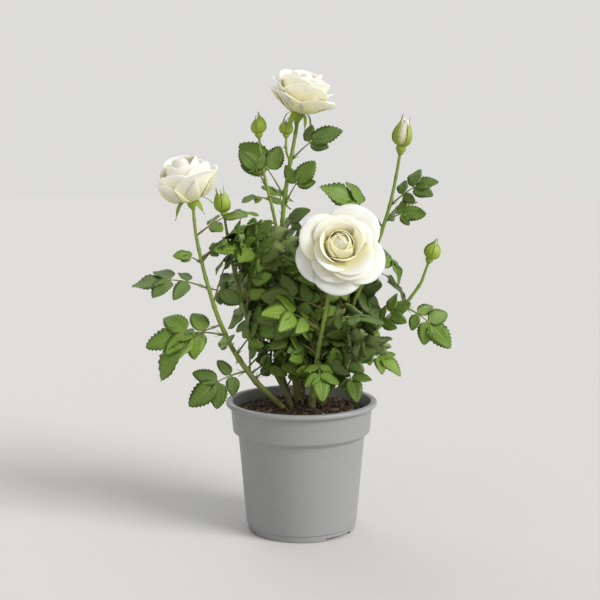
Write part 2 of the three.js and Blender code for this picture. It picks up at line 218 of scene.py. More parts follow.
class SurfaceBatch:
    """Many small surfaces gathered into one mesh, with a slot for each face and a map."""

    def __init__(self, map_name: str) -> None:
        """Start an empty batch whose map has the given name."""
        self.map_name = map_name
        self._points: list[np.ndarray] = []
        self._faces: list[list[tuple[int, ...]]] = []
        self._slots: list[np.ndarray] = []
        self._maps: list[np.ndarray] = []
        self._shades: list[np.ndarray] = []
        self._count = 0

    def add(self, points: np.ndarray, faces: np.ndarray, slots: np.ndarray | int = 0,
            places: np.ndarray | None = None, shade: np.ndarray | float = 0.0) -> None:
        """Add one surface.

        Args:
            points: Corner places, one row each.
            faces: Corner numbers of each face, with -1 for the missing fourth of a triangle.
            slots: Material slot of every face, or of each.
            places: Map place of each corner.
            shade: Value from 0 to 1 at every corner, or at each.
        """
        self._points.append(points)
        start = self._count
        self._faces.append([tuple(start + corner for corner in face if corner >= 0)
                            for face in faces.tolist()])
        self._slots.append(np.broadcast_to(slots, len(faces)))
        self._maps.append(np.zeros((len(points), 2)) if places is None else places)
        self._shades.append(np.broadcast_to(shade, len(points)))
        self._count += len(points)

    def build(self, name: str, materials: list[bpy.types.Material], smooth: bool = True) -> bpy.types.Object:
        """Make one object of everything added.

        Args:
            name: The object's name.
            materials: One for each slot.
            smooth: Shade the faces smooth.

        Returns:
            The new object.
        """
        mesh = bpy.data.meshes.new(name)
        faces = [face for part in self._faces for face in part]
        mesh.from_pydata(np.vstack(self._points).tolist(), [], faces)
        for material in materials:
            mesh.materials.append(material)
        mesh.polygons.foreach_set("material_index", np.concatenate(self._slots).astype(np.int32))
        mesh.polygons.foreach_set("use_smooth", np.full(len(faces), smooth))
        corners = np.empty(len(mesh.loops), dtype=np.int64)
        mesh.loops.foreach_get("vertex_index", corners)
        layer = mesh.uv_layers.new(name=self.map_name)
        layer.data.foreach_set("uv", np.vstack(self._maps)[corners].ravel())
        store_shade(mesh, np.concatenate(self._shades))
        mesh.validate()
        mesh.update()
        piece = bpy.data.objects.new(name, mesh)
        bpy.context.scene.collection.objects.link(piece)
        return piece


def grid_faces(rows: int, columns: int, closed: bool = False) -> np.ndarray:
    """Faces of a grid of corners numbered row by row.

    Args:
        rows: Number of corner rows.
        columns: Number of corners in a row.
        closed: Join each row's last corner to its first.

    Returns:
        Four corner numbers for each face.
    """
    steps = columns if closed else columns - 1
    row, column = np.meshgrid(np.arange(rows - 1), np.arange(steps), indexing="ij")
    after = (column + 1) % columns
    faces = np.stack([row * columns + column, row * columns + after,
                      (row + 1) * columns + after, (row + 1) * columns + column], axis=-1)
    return faces.reshape(-1, 4)


def tube(path: np.ndarray, radii: np.ndarray, sides: int) -> tuple[np.ndarray, np.ndarray]:
    """A round bar along a path, closed at both ends.

    Args:
        path: Centre points.
        radii: Radius at each point.
        sides: Corners around it.

    Returns:
        Its corners and its faces.
    """
    tangents = np.gradient(path, axis=0)
    side = square_to(UP, tangents[0])
    rings = []
    angles = np.arange(sides) * 2 * math.pi / sides
    for centre, tangent, radius in zip(path, tangents, radii):
        side = square_to(side, tangent)
        across = np.cross(unit(tangent), side)
        rings.append(centre + radius * (np.outer(np.cos(angles), side) + np.outer(np.sin(angles), across)))
    corners = np.vstack(rings + [path[:1], path[-1:]])
    walls = grid_faces(len(path), sides, closed=True)
    around = np.arange(sides)
    following = (around + 1) % sides
    last = (len(path) - 1) * sides
    foot, tip = len(corners) - 2, len(corners) - 1
    blank = np.full(sides, -1)
    caps = np.vstack([np.stack([following, around, np.full(sides, foot), blank], axis=1),
                      np.stack([last + around, last + following, np.full(sides, tip), blank], axis=1)])
    return corners, np.vstack([walls, caps])


def hands_off() -> None:
    """Deselect everything, so that an operator meets only what it is meant to."""
    bpy.ops.object.select_all(action="DESELECT")


def finish_shape(piece: bpy.types.Object, *modifiers: bpy.types.Modifier) -> None:
    """Apply a piece's modifiers in order."""
    hands_off()
    piece.select_set(True)
    bpy.context.view_layer.objects.active = piece
    for modifier in modifiers:
        bpy.ops.object.modifier_apply(modifier=modifier.name)


# ---------------------------------------------------------------- finishes

class MaterialSheet:
    """A material's node sheet with one Principled shader."""

    def __init__(self, name: str) -> None:
        """Start a material of the given name."""
        self.material = bpy.data.materials.new(name)
        self.material.use_nodes = True
        self.tree = self.material.node_tree
        self.tree.nodes.clear()
        self.shader = self.tree.nodes.new("ShaderNodeBsdfPrincipled")
        output = self.tree.nodes.new("ShaderNodeOutputMaterial")
        self.link(self.shader.outputs["BSDF"], output.inputs["Surface"])

    def link(self, source: bpy.types.NodeSocket, target: bpy.types.NodeSocket) -> None:
        """Join two sockets."""
        self.tree.links.new(source, target)

    def set(self, **values: float | Colour) -> None:
        """Set plain values on the shader's own sockets, named with underscores."""
        for name, value in values.items():
            self.shader.inputs[name.replace("_", " ")].default_value = value

    def feed(self, socket: str, source: bpy.types.NodeSocket) -> None:
        """Feed one of the shader's sockets."""
        self.link(source, self.shader.inputs[socket])

    def place(self) -> bpy.types.NodeSocket:
        """Object coordinates."""
        return self.tree.nodes.new("ShaderNodeTexCoord").outputs["Object"]

    def map_place(self, name: str) -> bpy.types.NodeSocket:
        """The piece's own map."""
        node = self.tree.nodes.new("ShaderNodeUVMap")
        node.uv_map = name
        return node.outputs["UV"]

    def attribute(self, name: str) -> bpy.types.NodeSocket:
        """A value stored on the piece."""
        node = self.tree.nodes.new("ShaderNodeAttribute")
        node.attribute_name = name
        return node.outputs["Fac"]

    def effect(self, tree: bpy.types.NodeTree, place: bpy.types.NodeSocket,
               **values: float) -> bpy.types.Node:
        """Put in a shared effect.

        Args:
            tree: The effect's node group.
            place: What feeds its Vector socket.
            **values: Its other sockets.

        Returns:
            The group node.
        """
        node = self.tree.nodes.new("ShaderNodeGroup")
        node.node_tree = tree
        self.link(place, node.inputs["Vector"])
        for name, value in values.items():
            node.inputs[name.replace("_", " ")].default_value = value
        return node

    def blend(self, share: bpy.types.NodeSocket, first: Colour | bpy.types.NodeSocket,
              second: Colour | bpy.types.NodeSocket) -> bpy.types.NodeSocket:
        """Mix two colours by a value that changes over the surface."""
        node = self.tree.nodes.new("ShaderNodeMix")
        node.data_type = "RGBA"
        self.link(share, node.inputs["Factor"])
        for name, colour in (("A", first), ("B", second)):
            socket = next(s for s in node.inputs if s.name == name and s.type == "RGBA")
            if isinstance(colour, bpy.types.NodeSocket):
                self.link(colour, socket)
            else:
                socket.default_value = colour
        return next(s for s in node.outputs if s.type == "RGBA")

    def sum(self, operation: str, first: bpy.types.NodeSocket | float,
            second: bpy.types.NodeSocket | float) -> bpy.types.NodeSocket:
        """Combine two values."""
        node = self.tree.nodes.new("ShaderNodeMath")
        node.operation = operation
        for socket, value in zip(node.inputs, (first, second)):
            if isinstance(value, bpy.types.NodeSocket):
                self.link(value, socket)
            else:
                socket.default_value = value
        return node.outputs[0]

    def range(self, value: bpy.types.NodeSocket, low: float, high: float) -> bpy.types.NodeSocket:
        """Spread a value of 0 to 1 over another range."""
        node = self.tree.nodes.new("ShaderNodeMapRange")
        self.link(value, node.inputs["Value"])
        node.inputs["To Min"].default_value = low
        node.inputs["To Max"].default_value = high
        return node.outputs["Result"]

    def relief(self, height: bpy.types.NodeSocket, depth: float, strength: float,
               under: bpy.types.NodeSocket | None = None) -> bpy.types.NodeSocket:
        """Turn a height into a normal.

        Args:
            height: The height, from 0 to 1.
            depth: What 1 stands for, in metres.
            strength: How much of it is used.
            under: A normal that this one lies on.

        Returns:
            The bent normal.
        """
        node = self.tree.nodes.new("ShaderNodeBump")
        node.inputs["Distance"].default_value = depth
        node.inputs["Strength"].default_value = strength
        self.link(height, node.inputs["Height"])
        if under is not None:
            self.link(under, node.inputs["Normal"])
        return node.outputs["Normal"]


class Effects:
    """Shared surface effects, each a node group that is built once."""

    def __init__(self) -> None:
        """Build every effect."""
        self.mottle = self._mottle()
        self.grain = self._grain()
        self.streaks = self._streaks()
        self.veins = self._veins()

    @staticmethod
    def _sheet(name: str, values: dict[str, float], results: tuple[str, ...]
               ) -> tuple[bpy.types.NodeTree, bpy.types.Node, bpy.types.Node]:
        """Start a group with a Vector socket, value sockets and results."""
        tree = bpy.data.node_groups.new(name, "ShaderNodeTree")
        tree.interface.new_socket(name="Vector", in_out="INPUT", socket_type="NodeSocketVector")
        for label, start in values.items():
            socket = tree.interface.new_socket(name=label, in_out="INPUT", socket_type="NodeSocketFloat")
            socket.default_value = start
        for label in results:
            tree.interface.new_socket(name=label, in_out="OUTPUT", socket_type="NodeSocketFloat")
        return tree, tree.nodes.new("NodeGroupInput"), tree.nodes.new("NodeGroupOutput")

    @staticmethod
    def _maths(tree: bpy.types.NodeTree, operation: str, *values: bpy.types.NodeSocket | float
               ) -> bpy.types.NodeSocket:
        """Add a maths node to a group."""
        node = tree.nodes.new("ShaderNodeMath")
        node.operation = operation
        for socket, value in zip(node.inputs, values):
            if isinstance(value, bpy.types.NodeSocket):
                tree.links.new(value, socket)
            else:
                socket.default_value = value
        return node.outputs[0]

    def _contrast(self, tree: bpy.types.NodeTree, value: bpy.types.NodeSocket,
                  strength: bpy.types.NodeSocket) -> bpy.types.NodeSocket:
        """Spread a value away from the middle of its range."""
        centred = self._maths(tree, "SUBTRACT", value, 0.5)
        spread = self._maths(tree, "MULTIPLY", centred, strength)
        return self._maths(tree, "ADD", spread, 0.5)

    def _mottle(self) -> bpy.types.NodeTree:
        """Soft cloudy patches."""
        tree, given, result = self._sheet("soft_mottle", {"Scale": 100.0, "Contrast": 1.0}, ("Value",))
        noise = tree.nodes.new("ShaderNodeTexNoise")
        noise.inputs["Detail"].default_value = 4.0
        tree.links.new(given.outputs["Vector"], noise.inputs["Vector"])
        tree.links.new(given.outputs["Scale"], noise.inputs["Scale"])
        shown = self._contrast(tree, noise.outputs["Fac"], given.outputs["Contrast"])
        tree.links.new(shown, result.inputs["Value"])
        return tree

    def _grain(self) -> bpy.types.NodeTree:
        """Fine pebbled grain with a few larger dimples."""
        tree, given, result = self._sheet("fine_grain", {"Scale": 1000.0}, ("Height",))
        fine = tree.nodes.new("ShaderNodeTexNoise")
        fine.inputs["Detail"].default_value = 2.0
        cells = tree.nodes.new("ShaderNodeTexVoronoi")
        for node in (fine, cells):
            tree.links.new(given.outputs["Vector"], node.inputs["Vector"])
            tree.links.new(given.outputs["Scale"], node.inputs["Scale"])
        mixed = self._maths(tree, "MULTIPLY_ADD", cells.outputs["Distance"], 0.5, fine.outputs["Fac"])
        tree.links.new(mixed, result.inputs["Height"])
        return tree

    def _streaks(self) -> bpy.types.NodeTree:
        """Fine noise drawn out along Z, which on a flat map is an even grain."""
        tree, given, result = self._sheet(
            "drawn_streaks", {"Across": 60.0, "Along": 3.0, "Contrast": 1.0}, ("Value",))
        spread = tree.nodes.new("ShaderNodeVectorMath")
        spread.operation = "MULTIPLY"
        scale = tree.nodes.new("ShaderNodeCombineXYZ")
        tree.links.new(given.outputs["Across"], scale.inputs["X"])
        tree.links.new(given.outputs["Across"], scale.inputs["Y"])
        tree.links.new(given.outputs["Along"], scale.inputs["Z"])
        tree.links.new(given.outputs["Vector"], spread.inputs[0])
        tree.links.new(scale.outputs["Vector"], spread.inputs[1])
        noise = tree.nodes.new("ShaderNodeTexNoise")
        noise.inputs["Scale"].default_value = 1.0
        noise.inputs["Detail"].default_value = 3.0
        tree.links.new(spread.outputs["Vector"], noise.inputs["Vector"])
        shown = self._contrast(tree, noise.outputs["Fac"], given.outputs["Contrast"])
        tree.links.new(shown, result.inputs["Value"])
        return tree

    def _veins(self) -> bpy.types.NodeTree:
        """Midrib and side veins of a leaflet, from its map."""
        tree, given, result = self._sheet("leaf_veins", {"Pairs": 9.0}, ("Line", "Height"))
        parts = tree.nodes.new("ShaderNodeSeparateXYZ")
        tree.links.new(given.outputs["Vector"], parts.inputs["Vector"])
        middle = self._maths(tree, "SUBTRACT", parts.outputs["Y"], 0.5)
        away = self._maths(tree, "ABSOLUTE", middle)
        rib = self._maths(tree, "SUBTRACT", 1.0, self._maths(tree, "MULTIPLY", away, 26.0))
        rib = self._maths(tree, "MAXIMUM", rib, 0.0)
        phase = self._maths(tree, "MULTIPLY", parts.outputs["X"], given.outputs["Pairs"])
        turn = self._maths(tree, "MULTIPLY", phase, 2 * math.pi)
        lifted = self._maths(tree, "MAXIMUM", self._maths(tree, "COSINE", turn), 0.0)
        sharp = self._maths(tree, "POWER", lifted, 9.0)
        fade = self._maths(tree, "SUBTRACT", 1.0, self._maths(tree, "MULTIPLY", away, 1.7))
        side = self._maths(tree, "MULTIPLY", sharp, self._maths(tree, "MAXIMUM", fade, 0.0))
        line = self._maths(tree, "MAXIMUM", rib, self._maths(tree, "MULTIPLY", side, 0.55))
        height = self._maths(tree, "SUBTRACT", 1.0, line)
        tree.links.new(line, result.inputs["Line"])
        tree.links.new(height, result.inputs["Height"])
        return tree


@dataclass(frozen=True)
class LeafFinish:
    """The upper side of a leaf: a glossy green with paler veins."""

    name: str
    blade: Colour
    vein: Colour
    roughness: float = 0.46

    def make(self, effects: Effects) -> bpy.types.Material:
        """Make the material."""
        sheet = MaterialSheet(self.name)
        veins = sheet.effect(effects.veins, sheet.map_place(LEAF_MAP))
        sheet.feed("Base Color", sheet.blend(veins.outputs["Line"], self.blade, self.vein))
        sheet.feed("Roughness", sheet.range(veins.outputs["Line"], self.roughness, self.roughness + 0.16))
        sheet.feed("Normal", sheet.relief(veins.outputs["Height"], 0.3 * MM, 0.8))
        sheet.set(Specular_IOR_Level=0.4)
        return sheet.material


@dataclass(frozen=True)
class LeafBackFinish:
    """The matt, paler underside of a leaf."""

    name: str
    blade: Colour
    vein: Colour

    def make(self, effects: Effects) -> bpy.types.Material:
        """Make the material."""
        sheet = MaterialSheet(self.name)
        veins = sheet.effect(effects.veins, sheet.map_place(LEAF_MAP))
        sheet.feed("Base Color", sheet.blend(veins.outputs["Line"], self.blade, self.vein))
        sheet.feed("Normal", sheet.relief(veins.outputs["Line"], 0.3 * MM, 0.8))
        sheet.set(Roughness=0.62, Specular_IOR_Level=0.35)
        return sheet.material


@dataclass(frozen=True)
class PetalFinish:
    """Soft creamy petals that turn yellow towards the foot; the yellow deep inside is partly painted glow."""

    name: str = "cream_petal"
    edge: Colour = (0.965, 0.96, 0.91, 1.0)
    # heart: the petals' own yellow, made stronger as painted glow for light shining through them
    heart: Colour = (0.98, 0.88, 0.18, 1.0)
    fleck: Colour = (0.91, 0.905, 0.84, 1.0)

    def make(self, effects: Effects) -> bpy.types.Material:
        """Make the material."""
        sheet = MaterialSheet(self.name)
        grain = sheet.effect(effects.streaks, sheet.map_place(PETAL_MAP),
                             Across=38.0, Along=1.0, Contrast=1.4).outputs["Value"]
        # Painted glow: the shade attribute mixes in the yellow, which on the inner whorls stands partly for
        # light shining through the petals
        yellow_and_painted_glow = sheet.blend(sheet.attribute("shade"), self.edge, self.heart)
        faint = sheet.sum("MULTIPLY", grain, 0.1)
        sheet.feed("Base Color", sheet.blend(faint, yellow_and_painted_glow, self.fleck))
        sheet.feed("Roughness", sheet.range(grain, 0.48, 0.66))
        sheet.feed("Normal", sheet.relief(grain, 0.1 * MM, 0.2))
        sheet.set(Subsurface_Weight=0.5, Subsurface_Radius=(1.0, 0.9, 0.55), Subsurface_Scale=0.004,
                  Sheen_Weight=0.15, Specular_IOR_Level=0.35)
        return sheet.material


@dataclass(frozen=True)
class SepalFinish:
    """Yellow-green calyx, darker where its shade is high."""

    name: str = "green_calyx"
    light: Colour = (0.35, 0.45, 0.045, 1.0)
    dark: Colour = (0.15, 0.24, 0.024, 1.0)

    def make(self, effects: Effects) -> bpy.types.Material:
        """Make the material."""
        sheet = MaterialSheet(self.name)
        lines = sheet.effect(effects.streaks, sheet.place(),
                             Across=900.0, Along=120.0, Contrast=1.6).outputs["Value"]
        darker = sheet.sum("ADD", sheet.attribute("shade"), sheet.sum("MULTIPLY", lines, 0.3))
        sheet.feed("Base Color", sheet.blend(darker, self.light, self.dark))
        sheet.feed("Roughness", sheet.range(lines, 0.42, 0.6))
        sheet.feed("Normal", sheet.relief(lines, 0.2 * MM, 0.5))
        return sheet.material


@dataclass(frozen=True)
class BarkFinish:
    """Green young bark that turns brown and corky towards the soil."""

    name: str = "green_bark"
    young: Colour = (0.22, 0.31, 0.045, 1.0)
    streak: Colour = (0.11, 0.20, 0.03, 1.0)
    old: Colour = (0.15, 0.13, 0.055, 1.0)

    def make(self, effects: Effects) -> bpy.types.Material:
        """Make the material."""
        sheet = MaterialSheet(self.name)
        lines = sheet.effect(effects.streaks, sheet.place(),
                             Across=1400.0, Along=160.0, Contrast=1.8).outputs["Value"]
        patches = sheet.effect(effects.mottle, sheet.place(), Scale=160.0, Contrast=1.5)
        age = sheet.sum("ADD", sheet.attribute("shade"),
                        sheet.sum("MULTIPLY", sheet.sum("SUBTRACT", patches.outputs["Value"], 0.5), 0.5))
        streaky = sheet.blend(sheet.sum("MULTIPLY", lines, 0.45), self.young, self.streak)
        sheet.feed("Base Color", sheet.blend(age, streaky, self.old))
        sheet.feed("Roughness", sheet.range(age, 0.42, 0.85))
        sheet.feed("Normal", sheet.relief(lines, 0.3 * MM, 0.7))
        return sheet.material


@dataclass(frozen=True)
class StalkFinish:
    """Leaf stalks: green, some of them flushed red."""

    name: str = "leaf_stalk"
    light: Colour = (0.16, 0.25, 0.05, 1.0)
    dark: Colour = (0.10, 0.17, 0.03, 1.0)
    flush: Colour = (0.20, 0.08, 0.035, 1.0)

    def make(self, effects: Effects) -> bpy.types.Material:
        """Make the material."""
        sheet = MaterialSheet(self.name)
        lines = sheet.effect(effects.streaks, sheet.place(), Across=700.0, Along=200.0, Contrast=1.5)
        green = sheet.blend(lines.outputs["Value"], self.light, self.dark)
        sheet.feed("Base Color", sheet.blend(sheet.attribute("shade"), green, self.flush))
        sheet.set(Roughness=0.5)
        return sheet.material


@dataclass(frozen=True)
class ThornFinish:
    """Horny thorns, red-brown at the foot and pale at the tip."""

    name: str = "thorn_horn"
    dark: Colour = (0.22, 0.09, 0.04, 1.0)
    light: Colour = (0.30, 0.15, 0.06, 1.0)
    tip: Colour = (0.50, 0.38, 0.18, 1.0)

    def make(self, effects: Effects) -> bpy.types.Material:
        """Make the material."""
        sheet = MaterialSheet(self.name)
        patches = sheet.effect(effects.mottle, sheet.place(), Scale=500.0, Contrast=1.6)
        base = sheet.blend(patches.outputs["Value"], self.dark, self.light)
        sheet.feed("Base Color", sheet.blend(sheet.attribute("shade"), base, self.tip))
        sheet.set(Roughness=0.4)
        return sheet.material


@dataclass(frozen=True)
class PlasticFinish:
    """Light grey moulded plastic with a fine grain, faint scuffs and a little soil dust."""

    name: str = "grey_pot_plastic"
    body: Colour = (0.285, 0.289, 0.303, 1.0)
    cloud: Colour = (0.312, 0.315, 0.325, 1.0)
    dust: Colour = (0.22, 0.20, 0.18, 1.0)

    def make(self, effects: Effects) -> bpy.types.Material:
        """Make the material."""
        sheet = MaterialSheet(self.name)
        place = sheet.place()
        clouds = sheet.effect(effects.mottle, place, Scale=22.0, Contrast=1.4)
        specks = sheet.effect(effects.mottle, place, Scale=420.0, Contrast=2.4)
        scuffs = sheet.effect(effects.streaks, place, Across=18.0, Along=260.0, Contrast=1.6)
        grain = sheet.effect(effects.grain, place, Scale=900.0)
        base = sheet.blend(clouds.outputs["Value"], self.body, self.cloud)
        dusty = sheet.sum("MULTIPLY", sheet.sum("POWER", specks.outputs["Value"], 6.0), 0.35)
        sheet.feed("Base Color", sheet.blend(dusty, base, self.dust))
        sheet.feed("Roughness", sheet.range(scuffs.outputs["Value"], 0.34, 0.56))
        fine = sheet.relief(grain.outputs["Height"], 0.12 * MM, 0.35)
        sheet.feed("Normal", sheet.relief(scuffs.outputs["Value"], 0.1 * MM, 0.25, fine))
        return sheet.material


@dataclass(frozen=True)
class PeatFinish:
    """Crumbly peat or bark chip of one colour family."""

    name: str
    dark: Colour
    light: Colour

    def make(self, effects: Effects) -> bpy.types.Material:
        """Make the material."""
        sheet = MaterialSheet(self.name)
        place = sheet.place()
        patches = sheet.effect(effects.mottle, place, Scale=420.0, Contrast=2.0)
        grain = sheet.effect(effects.grain, place, Scale=1500.0)
        sheet.feed("Base Color", sheet.blend(patches.outputs["Value"], self.dark, self.light))
        sheet.feed("Roughness", sheet.range(patches.outputs["Value"], 0.75, 0.98))
        sheet.feed("Normal", sheet.relief(grain.outputs["Height"], 0.6 * MM, 0.8))
        return sheet.material


class LeafTone(Enum):
    """The greens that the leaves come in, spray by spray."""

    DEEP = 0
    FULL = 1
    FRESH = 2
    DUSKY = 3
    BACK = 4


LEAF_FINISHES = {
    LeafTone.DEEP: LeafFinish("leaf_deep", (0.086, 0.150, 0.020, 1.0), (0.18, 0.27, 0.055, 1.0)),
    LeafTone.FULL: LeafFinish("leaf_full", (0.125, 0.216, 0.024, 1.0), (0.24, 0.35, 0.070, 1.0)),
    LeafTone.FRESH: LeafFinish("leaf_fresh", (0.155, 0.260, 0.026, 1.0), (0.28, 0.39, 0.075, 1.0)),
    LeafTone.DUSKY: LeafFinish("leaf_dusky", (0.102, 0.168, 0.036, 1.0), (0.20, 0.29, 0.085, 1.0), 0.52),
    LeafTone.BACK: LeafBackFinish("leaf_underside", (0.22, 0.30, 0.10, 1.0), (0.32, 0.40, 0.17, 1.0)),
}


# ---------------------------------------------------------------- leaves

@dataclass(frozen=True)
class Leaflet:
    """One serrated leaflet of unit length along +X, its upper side towards +Z.

    Each row of corners follows a side vein from the midrib out to the margin,
    so the blade can pucker between its veins. Upper and lower skins share the margin.
    """

    pairs: int = 9
    width: float = 0.66
    tooth: float = 0.03
    fold: float = 0.22
    droop: float = 0.16
    wave: float = 0.03
    sway: float = 0.0
    phase: float = 0.0
    pucker: float = 0.010
    thickness: float = 0.010

    @property
    def rows(self) -> int:
        """Corner rows between the foot and the tip: one on each vein and one between."""
        return 2 * self.pairs

    def outline(self, along: np.ndarray) -> np.ndarray:
        """Half width at shares of the length: rounded foot, widest below the middle, drawn-out tip."""
        body = along ** 0.52 * (1 - along) ** 0.82
        return 0.5 * self.width * body / (0.388 ** 0.52 * 0.612 ** 0.82)

    def _surface(self, across: np.ndarray, drop: float) -> np.ndarray:
        """Corners on the rows between foot and tip at the given shares of the half width.

        Args:
            across: Shares of the half width, from -1 to 1.
            drop: How far the skin lies under the blade's middle.

        Returns:
            Corner places, row by row.
        """
        vein = np.arange(1, self.rows)[:, None] / self.rows
        reach = np.abs(across)[None, :]
        margin = vein + 0.10 * np.sin(math.pi * vein)
        on_vein = np.where(np.arange(1, self.rows) % 2 == 0, 1.0, -0.45)[:, None]
        tooth = self.tooth * on_vein * np.sin(math.pi * vein) ** 0.5
        half = self.outline(margin) + np.where(reach > 0.99, tooth, 0.0)
        x = vein + (margin + 0.5 * np.where(reach > 0.99, tooth, 0.0) - vein) * reach ** 1.3
        y = np.sign(across)[None, :] * reach * half
        z = self.fold * np.abs(y) - 0.45 * self.fold * reach ** 2 * half
        z = z - self.droop * x ** 2 + 0.3 * self.droop * x
        ripple = np.sin(2 * math.pi * (1.6 * x + self.phase) + np.sign(across) * 1.3)
        z = z + self.wave * ripple * reach ** 2
        swell = np.where((reach > 0.2) & (reach < 0.9), 1.0, 0.0)
        z = z - self.pucker * on_vein * swell + 0.6 * self.pucker * swell - drop * (reach < 0.99)
        y = y + self.sway * x ** 2
        return np.stack(np.broadcast_arrays(x, y, z), axis=-1).reshape(-1, 3)

    def shape(self) -> tuple[np.ndarray, np.ndarray, np.ndarray, np.ndarray]:
        """Build the leaflet.

        Returns:
            Corners, faces, a mask of the faces underneath, and map places from 0 to 1.
        """
        upper_shares = np.array([-1.0, -0.52, 0.0, 0.52, 1.0])
        upper = self._surface(upper_shares, 0.0)
        lower = self._surface(np.array([0.0]), 1.6 * self.thickness)
        ends = np.array([[0.0, 0.0, 0.0], [1.0, self.sway, -0.7 * self.droop]])
        corners = np.vstack([upper, lower, ends])
        count, wide = self.rows - 1, len(upper_shares)
        foot, tip = len(corners) - 2, len(corners) - 1
        numbers = np.arange(count * wide).reshape(count, wide)
        beneath = np.column_stack([numbers[:, 0], count * wide + np.arange(count), numbers[:, -1]])
        faces, under = [], []
        for block, is_under in ((numbers, False), (beneath, True)):
            for column in range(block.shape[1] - 1):
                left, right = block[:, column], block[:, column + 1]
                quads = [[left[i], left[i + 1], right[i + 1], right[i]] for i in range(count - 1)]
                closing = [[foot, left[0], right[0], -1], [left[-1], tip, right[-1], -1]]
                for face in quads + closing:
                    held = [corner for corner in face if corner >= 0]
                    held = held if not is_under else held[::-1]
                    faces.append(held[::-1] + [-1] * (4 - len(held)))
                    under.append(is_under)
        vein = np.arange(1, self.rows) / self.rows
        upper_map = np.stack(np.broadcast_arrays(vein[:, None], 0.5 + 0.5 * upper_shares[None, :]), axis=-1)
        lower_map = np.stack([vein, np.full(count, 0.5)], axis=-1)
        places = np.vstack([upper_map.reshape(-1, 2), lower_map, [[0.0, 0.5], [1.0, 0.5]]])
        return corners, np.array(faces), np.array(under), places


@dataclass
class Foliage:
    """All leaves of one part of the crown: blades in one mesh and stalks in another."""

    name: str
    rng: np.random.Generator
    blades: SurfaceBatch = field(default_factory=lambda: SurfaceBatch(LEAF_MAP))
    stalks: SurfaceBatch = field(default_factory=lambda: SurfaceBatch(STALK_MAP))
    kinds: int = 10

    def __post_init__(self) -> None:
        """Shape the leaflets that this part of the crown draws on."""
        draw = self.rng.uniform
        self._shapes = [
            Leaflet(width=draw(0.60, 0.72), fold=draw(0.10, 0.42), droop=draw(0.05, 0.32),
                    wave=draw(0.012, 0.045), sway=draw(-0.06, 0.06), phase=draw(0, 1)).shape()
            for _ in range(self.kinds)
        ]

    def leaflet(self, base: np.ndarray, along: np.ndarray, facing: np.ndarray, length: float,
                tone: LeafTone) -> None:
        """Add one leaflet.

        Args:
            base: Where its blade begins.
            along: Direction of its midrib.
            facing: Where its upper side faces.
            length: Blade length.
            tone: Its green.
        """
        corners, faces, under, places = self._shapes[self.rng.integers(self.kinds)]
        forward = unit(along)
        normal = square_to(facing, forward)
        side = np.cross(normal, forward)
        placed = base + length * (corners @ np.stack([forward, side, normal]))
        slots = np.where(under, LeafTone.BACK.value, tone.value)
        self.blades.add(placed, faces, slots, places)

    def stalk(self, path: np.ndarray, start: float, end: float, flush: float, sides: int = 5) -> None:
        """Add a stalk that tapers from one radius to another."""
        corners, faces = tube(path, np.linspace(start, end, len(path)), sides)
        self.stalks.add(corners, faces, shade=flush)

    def build(self, finishes: dict[LeafTone, bpy.types.Material],
              stalk_finish: bpy.types.Material) -> list[bpy.types.Object]:
        """Make the two meshes."""
        blades = self.blades.build(f"{self.name}_leaves", [finishes[tone] for tone in LeafTone])
        stalks = self.stalks.build(f"{self.name}_leaf_stalks", [stalk_finish])
        return [blades, stalks]


